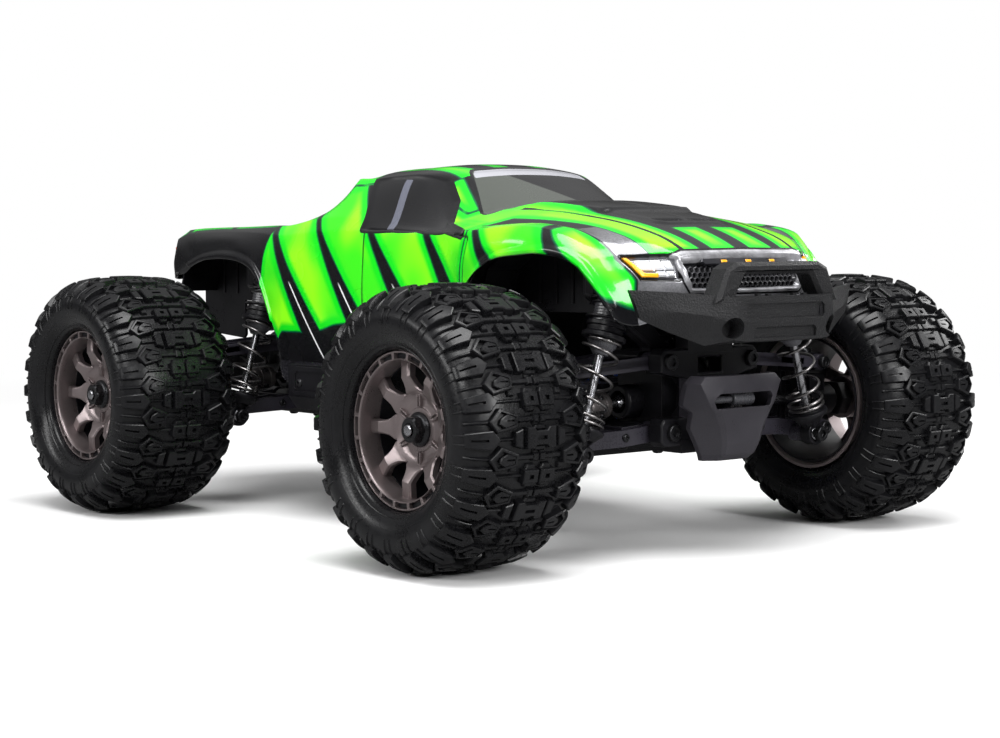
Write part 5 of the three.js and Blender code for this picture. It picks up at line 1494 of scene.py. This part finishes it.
def hub_carrier():
    half = pts("5.4,34.6 6.4,38.5 6.8,42.6 9,44 9,54.4 6.8,56 5.8,63.6 4.6,64.6")
    outline = [(-5.4, 34.6)] + half + flipped(half)[:-1]
    kit = carve(Kit().prism("y", 64.1, 70, outline),
                [Kit().cyl((0, 60, WHEEL_Z), (0, 79, WHEEL_Z), 5.4, 40)])
    for z0, z1 in ((34.4, 40.2), (57.6, 64.4)):
        kit.prism("y", 69.6, 75.8, rect(-5.2, 5.2, z0, z1))
    kit.lathe(pts("5.4,65 7.5,65 7.5,78 6.4,79 6.2,83.6 5.7,84.4 3,84.4 3,77.6 5.4,77.2"),
              WHEEL_CENTRE, closed=True)
    ribs = Kit()
    for i in range(6):
        ribs.rings([[around_axle(r, y, PI / 6 + i * PI / 3, q) for r, q in
                     pts("5.8,-0.6 8.9,-0.6 8.9,0.6 5.8,0.6")] for y in (69.5, 75.5)])
    kit.merge(ribs, lambda v: (v[0], v[1], v[2] + WHEEL_Z))
    bearing_collar(kit)
    outer_pins(kit)
    return kit


def halfshaft():
    kit = Kit()
    start, end = np.array([0, *DRIVE_IN]), np.array([0, *DRIVE_OUT])
    length = np.linalg.norm(end - start)
    x, y, axis = basis(end - start)
    outer = pts("2.1,-8 1.5,-6.5 1.5,-3.2 1.7,-2.3 2.5,-1.2 2.8,0 2.5,1.2 1.6,2.3 0.01,2.8")
    kit.lathe(pts("0.01,-2.8 1.6,-2.3 2.5,-1.2 2.8,0 2.5,1.2 1.7,2.3 1.5,3.2 1.5,5.2 2.1,5.8")
              + [(r, length + h) for r, h in outer], start, axis, 36)
    # sleeve with four screws and two rings
    kit.lathe(pts("2,7.4 3.2,7.4 4.4,8.2 4.75,9.4 4.75,16.5 4.3,17.6 3,18.4 2,18.6"),
              start, axis, 44, 1, closed=True)
    for i in range(4):
        angle = PI / 4 + i * PI / 2
        radial = x * math.cos(angle) + y * math.sin(angle)
        kit.screw(start + axis * 12.6 + radial * 4.5, radial, 1.2, 2, 0.7)
    for h in (10.6, 14.6):
        kit.lathe([(4.6, h - 0.35), (4.95, h - 0.25), (4.95, h + 0.25), (4.6, h + 0.35)],
                  start, axis, 44, 1, closed=True)
    return kit


def tie_rod():
    kit = Kit()
    start, end = np.array([ROD_X, *DRIVE_IN]), np.array([ROD_X, *DRIVE_OUT])
    axis = (end - start) / np.linalg.norm(end - start)
    kit.cyl(start + axis * 7, end - axis * 7, 1.15, 24, slot=1)
    for centre, way in ((start, 1), (end, -1)):
        kit.cyl(centre + axis * way * 2.6, centre + axis * way * 11, 1.9, 6, 1.55, chamfer=0.2)
        kit.lathe(pts("2.45,-1.7 3.1,-1.7 3.5,-1.2 3.5,1.2 3.1,1.7 2.45,1.7"),
                  centre, (0, 0, 1), 36, closed=True)
        kit.lathe(pts("1.25,-1.55 1.9,-1.4 2.35,0 1.9,1.4 1.25,1.55"),
                  centre, (0, 0, 1), 30, 1, closed=True)
    return kit


def around_shock(count):
    """Radial and tangent vectors at even angles round the shock."""
    for i in range(count):
        cos, sin = math.cos(2 * PI * i / count), math.sin(2 * PI * i / count)
        yield SHOCK_U * cos + SHOCK_V * sin, -SHOCK_U * sin + SHOCK_V * cos


def shock_turned(kit, profile, n=56, slot=0, closed=False):
    kit.lathe(profile, SHOCK_TOP, SHOCK_AXIS, n, slot, closed)


def shock_body():
    kit = Kit()
    shock_turned(kit, pts("0.01,1 3,1 3.3,3.2 5.4,3.6 6.3,4.4 6.45,5.6 6.45,9.4 6.1,10 5.5,10.3 "
                          "5.5,11 3.6,11 3.6,4.6 0.01,4.6"))
    shock_turned(kit, pts("3.6,10.6 5.15,10.6 5.15,26 4.6,27.6 3.3,29.4 2.6,30.4 1.75,30.4 "
                          "1.75,29.7 2.9,28.2 3.6,26.4"), slot=1, closed=True)
    # knurled cap band, collars, spring seat and thread
    for radial, tangent in around_shock(30):
        centre = SHOCK_TOP + radial * 6.4
        kit.rings([[tuple(centre + SHOCK_AXIS * s + tangent * w + radial * h)
                    for w, h in pts("-0.32,-0.2 -0.2,0.28 0.2,0.28 0.32,-0.2")]
                   for s in (5.9, 9.1)])
    for start, r, thick in ((11.6, 7.3, 0.9), (13.0, 6.3, 0.8), (18.0, 7.5, 0.8),
                            (19.6, 6.6, 1.6)):
        end = start + thick
        shock_turned(kit, [(5.0, start), (r - 0.3, start), (r, start + 0.25), (r, end - 0.2),
                           (r - 0.3, end), (5.0, end)], closed=True)
    shock_turned(kit, pts("5,21.4 6.1,21.4 6.2,23 7.5,23.7 7.5,24.9 7.1,25.3 5,25.3"),
                 closed=True)
    for s in (13.6, 14.6, 15.6, 16.6):
        shock_turned(kit, [(5.0, s), (5.32, s + 0.25), (5.0, s + 0.5)], 48, 1, closed=True)
    half, bush = np.array([2.5, 0, 0]), np.array([2.7, 0, 0])
    kit.pipe(SHOCK_TOP - half, SHOCK_TOP + half, 3.7, 1.7, 36)
    kit.pipe(SHOCK_TOP - bush, SHOCK_TOP + bush, 1.75, 1.55, 28, 2, 0.02)
    return kit


def shock_shaft():
    kit = Kit()
    shock_turned(kit, pts("0.01,15.6 3.2,15.6 3.2,17.2 1.5,17.4 1.5,58 0.01,58"), 28)
    shock_turned(kit, pts("1.5,54.9 5.3,54.9 5.4,55.6 7.1,55.7 7.2,56.4 7,57 5.6,58.2 4.6,59.4 "
                          "3,59.8 2.8,62 1.5,62"), slot=1, closed=True)
    for radial, tangent in around_shock(6):
        kit.rings([[tuple(SHOCK_TOP + SHOCK_AXIS * s + radial * r + tangent * w)
                    for r, w in ((2.4, -0.5), (reach, -0.5), (reach, 0.5), (2.4, 0.5))]
                   for s, reach in ((57.2, 6.2), (59.6, 4.4), (61.6, 3.0))], 1)
    half = np.array([2.4, 0, 0])
    kit.pipe(SHOCK_EYE - half, SHOCK_EYE + half, 4.2, 2.9, 40, 1)
    kit.lathe(pts("1.6,-2.5 2.4,-2 2.85,0 2.4,2 1.6,2.5"), SHOCK_EYE, (1, 0, 0), 32, closed=True)
    return kit


def coil():
    """Spring of 5.6 turns, closer wound at both ends."""
    turns = np.linspace(0, 5.6, 5 * 44)
    along = np.interp(turns, *zip(*pts(
        "0,25.85 0.8,26.9 1.8,34.6 2.8,43.6 3.6,49.4 4.4,52.4 5.6,54.35")))
    along = np.convolve(np.pad(along, 7, mode="edge"), np.ones(15) / 15, mode="valid")
    path = [tuple(SHOCK_TOP + SHOCK_AXIS * s + 6.15 * (
        SHOCK_U * math.cos(2 * PI * t) + SHOCK_V * math.sin(2 * PI * t)))
        for t, s in zip(turns, along)]
    return Kit().tube(path, 0.56, 12)


# ---------------------------------------------------------------- bulkheads
def bulkhead(front):
    """Ribbed gearbox case, hinge blocks and shock tower, about the axle at x = 0."""
    kit = Kit()
    case = pts("-7.6,40 -5,36.2 12,36.2 14,38 14,62 11,66.5 6,68.4 -4,68.4 -7.6,63")
    kit.prism("y", -14.2, 14.2, case)
    for y in (-14.6, -7.2, 0, 7.2, 14.6):
        kit.prism("y", y - 0.6, y + 0.6, [(x * 1.035, 52 + (z - 52) * 1.03) for x, z in case])
    kit.prism("z", 34.2, 38.8, rect(-20, 23, -14, 14))
    kit.prism("x", -7, 9, pts("-22,38.6 -20.5,36.8 20.5,36.8 22,38.6 22,42.6 20,44.2 -20,44.2 "
                              "-22,42.6"))
    waist = pts("-23.4,62 -12.5,59.6 -9.5,56 -9.5,50 -13,46.6 -22,46.2 -23.4,44 -23.4,38.4 "
                "-21.6,36.8")
    kit.prism("x", 16.6, 22.8,
              waist + flipped(waist) + pts("23.4,68 21.4,69.9 -21.4,69.9 -23.4,68"),
              [pts("-5.5,61.5 -5.5,66.5 5.5,66.5 5.5,61.5")], top=(0.6, 0.5))
    kit.prism("x", -19.8, -16.8, pts("-22,36.6 -20,34.7 20,34.7 22,36.6 22,42.2 21,43.2 "
                                     "-21,43.2 -22,42.2"))
    kit.prism("x", -3.6, 10.6, pts("-23,63.8 -21.4,62.2 21.4,62.2 23,63.8 23,67.4 21.4,68.8 "
                                   "-21.4,68.8 -23,67.4"))
    half = pts("15,60 18,70 43,87.4 44,89 44,100.4 42.6,101.8 36,103.9 20,96")
    tower = [(-15, 60)] + half + flipped(half)[:-1]
    kit.prism("x", 7.6, 10.4, tower, [
        pts("-12,74 -20,82 -12,90 12,90 20,82 12,74"), pts("26,84 37,91.4 37,94 27,91.5 23,87"),
        pts("-26,84 -23,87 -27,91.5 -37,94 -37,91.4")])
    kit.prism("x", 6.4, 11.6, inset(tower, 0.05), [inset(tower, 1.5)])
    for side in (1, -1):
        kit.lathe(pts("3.9,14 6,14 6,21.6 5.4,22.3 3.9,22.3 3.9,17.2 3.2,16.4 3.2,14"),
                  (0, 0, DRIVE_IN[1]), (0, side, 0), closed=True)
        (low_y, low_z), (high_y, high_z) = LOWER_IN, UPPER_IN
        kit.cyl((-18.4, side * low_y, low_z), (22.2, side * low_y, low_z), 1.5, 20, slot=1)
        kit.cyl((-11.8, side * high_y, high_z), (22.2, side * high_y, high_z), 1.4, 20, slot=1)
        _, y, z = SHOCK_TOP
        kit.cyl((10, side * y, z), (15, side * y, z), 3.0, chamfer=0.3)
        kit.cyl((14, side * y, z), (22, side * y, z), 1.5, 20, slot=1)
        kit.cyl((21.0, side * y, z), (22.8, side * y, z), 3.0, chamfer=0.3, slot=1)
    if front:
        kit.prism("y", -10.8, 10.8, pts("16.6,68 22.9,68 22.9,79.2 21.9,79.9 17.6,79.9 16.6,78.9"))
    return kit


for end, axle in ENDS:
    Kit().merge(bulkhead(end == "front"), lambda v: (v[0] + axle, v[1], v[2])).obj(
        f"{end}_bulkhead_ribbed", "chassis", [PLASTIC, SCREW], "black_plastic",
        f"{end}_bulkhead", bevel=0.35, angle=32)


def liner(name, side, wall, y, roof):
    """Wheel-well panel at y with thin strips outwards along the roof line, and ribs."""
    kit = Kit()
    kit.prism("y", *sorted((side * y, side * (y + 1.3))), wall)
    for (x0, z0), (x1, z1) in zip(roof[:-1], roof[1:]):
        length = math.hypot(x1 - x0, z1 - z0)
        dx, dz = -(z1 - z0) / length * 0.6, (x1 - x0) / length * 0.6
        kit.prism("y", *sorted((side * (y + 1.0), side * 49.4)),
                  [(x0 - dx, z0 - dz), (x1 - dx, z1 - dz), (x1 + dx, z1 + dz), (x0 + dx, z0 + dz)])
    start, end = min(p[0] for p in wall), max(p[0] for p in wall)
    for i in range(4):
        x = start + 11 + (end - start - 11) * (i + 0.5) / 4
        kit.prism("y", *sorted((side * (y + 1.2), side * (y + 1.9))),
                  rect(x - 0.6, x + 0.6, 85, 102))
    kit.obj(name, "body_shell", PLASTIC, "black_plastic", bevel=0.2)


for hand, side in SIDES:
    liner(f"rear_{hand}_wheel_well", side,
          pts("-150,70 -148,68 -119.5,66 -118,67.5 -118,82 -97.5,82 -97.5,104.4 -141,104.4 "
              "-150,93"), 30.5, pts("-141,86 -136,99.6 -98,103.4"))
    liner(f"front_{hand}_wheel_well", side, pts("63,82 108,82 108,109 66,109"), 33.5,
          pts("61,82 66,97 82,106.6 107.5,108.4"))

# Corner parts: CAD name, shape, materials, paint slot, bevel.
CORNER_PARTS = [
    ("lower_arm", lower_arm(), [ARM_PLASTIC, SCREW], "black_plastic", 0.34),
    ("upper_arm", upper_arm(), [ARM_PLASTIC, SCREW], "black_plastic", 0.3),
    ("caster_block", caster_block(), [PLASTIC, SCREW], "black_plastic", 0.35),
    ("knuckle", knuckle(), [PLASTIC, STEEL], "black_plastic", 0.3),
    ("hub_carrier", hub_carrier(), [PLASTIC, SCREW], "black_plastic", 0.35),
    ("halfshaft", halfshaft(), [STEEL, CUP_METAL, SCREW], "bright_steel", 0.12),
    ("tie_rod", tie_rod(), [PLASTIC, STEEL], "black_metal", 0.15),
    ("shock_body", shock_body(), [PLASTIC, SHOCK_GREY, STEEL], "black_metal", 0.14),
    ("shock_shaft", shock_shaft(), [STEEL, PLASTIC], "bright_steel", 0.14),
    ("spring", coil(), [SPRING_STEEL], "bright_steel", 0)]


def place_spring(kit, corner, axle, side):
    """Spring coil round the shock, between the shock body and its shaft, as a fixed mesh in place
    of the CAD spring.
    """
    mesh = kit.mesh(corner + "_spring_coil", [SPRING_STEEL])
    smooth_shading(mesh)
    item = place_object(corner + "_spring_coil", mesh)
    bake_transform(item)
    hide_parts(corner + "_spring")


for end, axle in ENDS:
    for hand, side in SIDES:
        for part, shape, mats, look, bevel in CORNER_PARTS:
            cad = f"{end}_{hand}_{part}"
            if cad not in frame["nodes"]:
                continue
            kit = Kit().merge(shape, lambda v: (v[0] + axle, v[1] * side, v[2]))
            if part == "spring":
                place_spring(kit, f"{end}_{hand}", axle, side)
            else:
                body = cad if cad in frame["bodies"] else frame["nodes"][cad]["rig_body"]
                kit.obj(cad + "_detailed", body, mats, look, cad, bevel=bevel, angle=32)

# ---------------------------------------------------------------- CAD pieces kept as they are
# Material and bevel.
FINISHES = dict(
    chassis_tub=(PLASTIC, 0.5), battery_pack=(BATTERY, 1.6), drive_motor=(MOTOR, 0.5),
    steering_servo=(CASE, 0.6), battery_strap=(ARM_PLASTIC, 0.45),
    center_driveshaft=(GEAR, 0.12), pinion_gear=(BRASS, 0.1),
    bellcrank_left=(ARM_PLASTIC, 0.3), bellcrank_right=(ARM_PLASTIC, 0.3),
    center_link=(ARM_PLASTIC, 0.35))
for name, (mat, bevel) in FINISHES.items():
    piece = frame["nodes"][name]
    piece.data.materials.clear()
    piece.data.materials.append(mat)
    bevel_edges(piece, bevel, 3, 38)

# ---------------------------------------------------------------- fittings on the chassis
kit = Kit()
forward, down = (1, 0, 0), (0, 0, -1)
for side in (1, -1):
    for _, axle in ENDS:
        kit.cap_screw((axle + 21.6, side * 38, 98), forward, 2.5, 1.6)
        kit.screw((axle + 10.5, side * 14, 92.8), forward, 1.9)
        kit.screw((axle + 10.5, side * 8, 71.6), forward, 1.9)
        kit.cap_screw((axle + 22.8, side * 18, 41.5), forward, 2.9, 1.7)
        kit.cap_screw((axle + 22.8, side * 19.5, 65.5), forward, 2.8, 1.7)
        kit.screw((axle + 6, side * 9, 34.0), down, 2.0)
        kit.screw((axle - 12, side * 9, 34.0), down, 2.0)
    for x in (-60, -30, 0, 30, 60):
        kit.screw((x, side * (24 if abs(x) < 50 else 12), 30.0), down, 2.1)
    for x in (-34, -10, 14, 32):
        kit.screw((x, side * 61.0, 52.5), (0, side, 0), 1.6)
kit.obj("chassis_screws", "chassis", SCREW, "black_metal", bevel=0.06)

# ribs across the side guards and a raised frame on their outer faces
kit = Kit()
guard_rib = pts("40,45.6 57.4,48.2 57.4,51.5 52,49.8 40,48.6")
for side in (1, -1):
    for x in range(-38, 38, 8):
        kit.prism("x", x, x + 1.2, to_side(guard_rib, side))
    kit.prism("y", *sorted((side * 60.6, side * 61.5)),
              pts("-40,49.5 -36,47.8 33,47.8 36,49.5 36,57 33,58.8 -36,58.8 -40,57"),
              [pts("-37,50.5 -35,49.6 31,49.6 33.4,50.5 33.4,56 31.4,57 -35,57 -37,56")])
kit.obj("chassis_guard_ribs", "chassis", PLASTIC, "black_plastic", bevel=0.2)

# finned speed control and the smaller receiver box
kit = Kit()
kit.box(2, 34, -33, -12, 33.2, 46)
for i in range(9):
    kit.box(5 + i * 3.0, 6.4 + i * 3.0, -31, -14, 45.8, 51.5)
kit.box(-20, -2, -34, -20, 33.2, 44)
kit.obj("electronics_boxes", "chassis", CASE, "black_plastic", bevel=0.6, segments=3)

# motor end bell with twelve thin bars round the can
kit = Kit()
MOTOR_Y, MOTOR_Z, BAR_CIRCLE = -18.15, 50, 13.2
kit.cyl((-24.2, MOTOR_Y, MOTOR_Z), (-21.6, MOTOR_Y, MOTOR_Z), 11.6, 56, chamfer=0.6)
kit.cyl((-21.8, MOTOR_Y, MOTOR_Z), (-20.2, MOTOR_Y, MOTOR_Z), 4.0, 36, chamfer=0.3)
for i in range(12):
    y = MOTOR_Y + BAR_CIRCLE * math.cos(2 * PI * i / 12)
    z = MOTOR_Z + BAR_CIRCLE * math.sin(2 * PI * i / 12)
    kit.cyl((-60, y, z), (-29, y, z), 0.7, 10, chamfer=0.2)
kit.obj("motor_end_bell", "chassis", MOTOR, "motor_can", bevel=0.12)

# Leads: name, path, radius, material.
LEADS = [
    ("motor_a", "-20.5,-15,53 -12,-14,56 -2,-18,54 3,-20,46", 1.0, RED_WIRE),
    ("motor_b", "-20.5,-18,55 -12,-19,58.5 -3,-23,55 3,-24,46", 1.0, BLACK_WIRE),
    ("motor_c", "-20.5,-21.5,53 -12,-24,55 -3,-28,53 3,-28,46", 1.0, RED_WIRE),
    ("battery_a", "33,-16,45 42,-14,50 52.5,-4,53 54,8,56 49,16,58", 1.15, RED_WIRE),
    ("battery_b", "33,-20,45 44,-18,51 55,-6,54 57,9,57 49,20,58", 1.15, BLACK_WIRE),
    ("servo", "56,-16,46 48,-20,50 36,-32,49 10,-35.5,46 -2,-30,42", 0.7, BLACK_WIRE)]
for name, path, radius, mat in LEADS:
    Kit().tube(smooth_curve(pts(path), 10), radius, 12).obj(
        "lead_" + name, "chassis", mat, "black_plastic")

kit = Kit().box(40, 50, 13.5, 23, 56.2, 61.5).box(41, 49, 15, 17, 61.2, 62.2)
kit.obj("battery_connector", "chassis", CONNECTOR, "battery_wrap", bevel=0.4, segments=3)
kit = Kit()
for x in (-44, -22, 20, 42):
    kit.prism("x", x - 1.6, x + 1.6, rect(4.7, 33.3, 33.6, 56.2))
kit.obj("battery_bands", "chassis", BAND_GREY, "battery_wrap", bevel=0.3)


# ---------------------------------------------------------------- floor, in metres
def floor_material():
    """Pale floor that fades to pure white for the camera and looks dim in reflections."""
    mat = Material("studio_floor")
    mat.set(Base_Color=mat.mix(mat.ramp(mat.noise(900, detail=2), 0.4, 0.6),
                               (0.80, 0.80, 0.80), (0.83, 0.83, 0.83)),
            Roughness=mat.ramp(mat.noise(500, detail=2), 0.4, 0.6, low=0.55, high=0.65),
            Specular_IOR_Level=0.25)
    distance = mat.node("VectorMath", operation="LENGTH")
    mat.link(mat.coords, distance.inputs[0])
    rays = mat.node("LightPath")
    white = mat.node("Emission")
    mat.put(white.inputs["Color"], (1, 1, 1))
    mat.put(white.inputs["Strength"], 1.0)
    dim = mat.node("BsdfDiffuse")
    mat.put(dim.inputs["Color"], (0.02, 0.02, 0.02))

    def blend(factor, first, second):
        node = mat.node("MixShader")
        for i, socket in enumerate((factor, first, second)):
            mat.link(socket, node.inputs[i])
        return node.outputs[0]
    # the fade runs from 0.26 m to 0.95 m out
    fade = mat.ramp(distance.outputs["Value"], 0.26, 0.95, smooth=True)
    seen = blend(mat.times(fade, rays.outputs["Is Camera Ray"]), mat.shader.outputs[0],
                 white.outputs[0])
    mirrored = mat.times(rays.outputs["Is Glossy Ray"], 0.75)
    mat.link(blend(mirrored, seen, dim.outputs[0]), mat.output.inputs[0])
    return mat.material


def floor_mesh():
    """Disc of rings, closer together near the middle."""
    radius, rings, sectors = 12.0, 64, 96
    verts = [(0, 0, 0)]
    for i in range(1, rings + 1):
        r = radius * (i / rings) ** 2.2
        verts += [(r * math.cos(2 * PI * k / sectors), r * math.sin(2 * PI * k / sectors), 0)
                  for k in range(sectors)]
    faces = [(0, 1 + k, 1 + (k + 1) % sectors) for k in range(sectors)]
    for inner in range(1, 1 + (rings - 1) * sectors, sectors):
        outer = inner + sectors
        for k in range(sectors):
            j = (k + 1) % sectors
            faces.append((inner + k, outer + k, outer + j, inner + j))
    mesh = bpy.data.meshes.new("studio_floor")
    mesh.from_pydata(verts, [], faces)
    return mesh


ground = floor_mesh()
ground.materials.append(floor_material())
smooth_shading(ground)
place_object("studio_floor", ground)

# ---------------------------------------------------------------- world, lights, camera
# Even white to the camera; other rays see a brighter ceiling and a dimmer horizon.
world = bpy.data.worlds.new("studio")
bpy.context.scene.world = world
world.use_nodes = True
sky = Nodes(world.node_tree)
background = world.node_tree.nodes["Background"]
direction = sky.node("SeparateXYZ")
sky.link(sky.node("TexCoord").outputs["Generated"], direction.inputs[0])
ceiling = sky.ramp(direction.outputs["Z"], 0.05, 0.9, low=0.05, high=0.50, smooth=True)
strength = sky.node("Mix", data_type="FLOAT")
sky.link(sky.node("LightPath").outputs["Is Camera Ray"], strength.inputs[0])
sky.link(ceiling, strength.inputs[2])
strength.inputs[3].default_value = 1.0
sky.link(strength.outputs[0], background.inputs[1])
background.inputs[0].default_value = (1, 1, 1, 1)


def area_light(name, at, target, size, power):
    light = bpy.data.lights.new(name, "AREA")
    light.shape = "RECTANGLE"
    light.size, light.size_y = size
    light.energy = power
    item = place_object(name, light)
    item.location = at
    item.rotation_mode = "QUATERNION"
    item.rotation_quaternion = (Vector(target) - Vector(at)).to_track_quat("-Z", "Y")


area_light("key_top", at=(0.35, -0.20, 1.20), target=(0.02, 0, 0.04), size=(0.95, 0.7), power=22)
area_light("front_soft", at=(1.30, 0.10, 0.50), target=(0.1, 0, 0.05), size=(0.6, 0.34), power=11)
area_light("side_strip", at=(-0.35, -1.25, 0.55), target=(-0.05, 0, 0.05), size=(1.1, 0.22),
           power=7.5)
area_light("camera_fill", at=(0.75, -0.95, 0.75), target=(0.05, 0, 0.06), size=(0.5, 0.3),
           power=4.5)
area_light("far_side", at=(0.2, 1.2, 0.65), target=(0.05, 0, 0.08), size=(0.8, 0.4), power=7)

lens = bpy.data.cameras.new("camera")
lens.lens = 74.93
lens.sensor_width = 36
lens.sensor_fit = "HORIZONTAL"
lens.clip_start = 0.01
lens.clip_end = 50
camera = place_object("camera", lens)
bpy.context.scene.camera = camera
CAMERA_AT = (0.63171, -0.50938, 0.10711)
yaw, pitch, roll = math.radians(140.535), math.radians(-3.556), math.radians(-0.288)
view = Vector((math.cos(pitch) * math.cos(yaw), math.cos(pitch) * math.sin(yaw),
               math.sin(pitch)))
level = view.cross(Vector((0, 0, 1))).normalized()
right = level * math.cos(roll) + level.cross(view).normalized() * math.sin(roll)
up = right.cross(view).normalized()
rows = [(right[i], up[i], -view[i], CAMERA_AT[i]) for i in range(3)]
camera.matrix_world = Matrix((*rows, (0, 0, 0, 1)))
bpy.context.scene.view_settings.view_transform = "Standard"
bpy.context.scene.view_settings.look = "None"
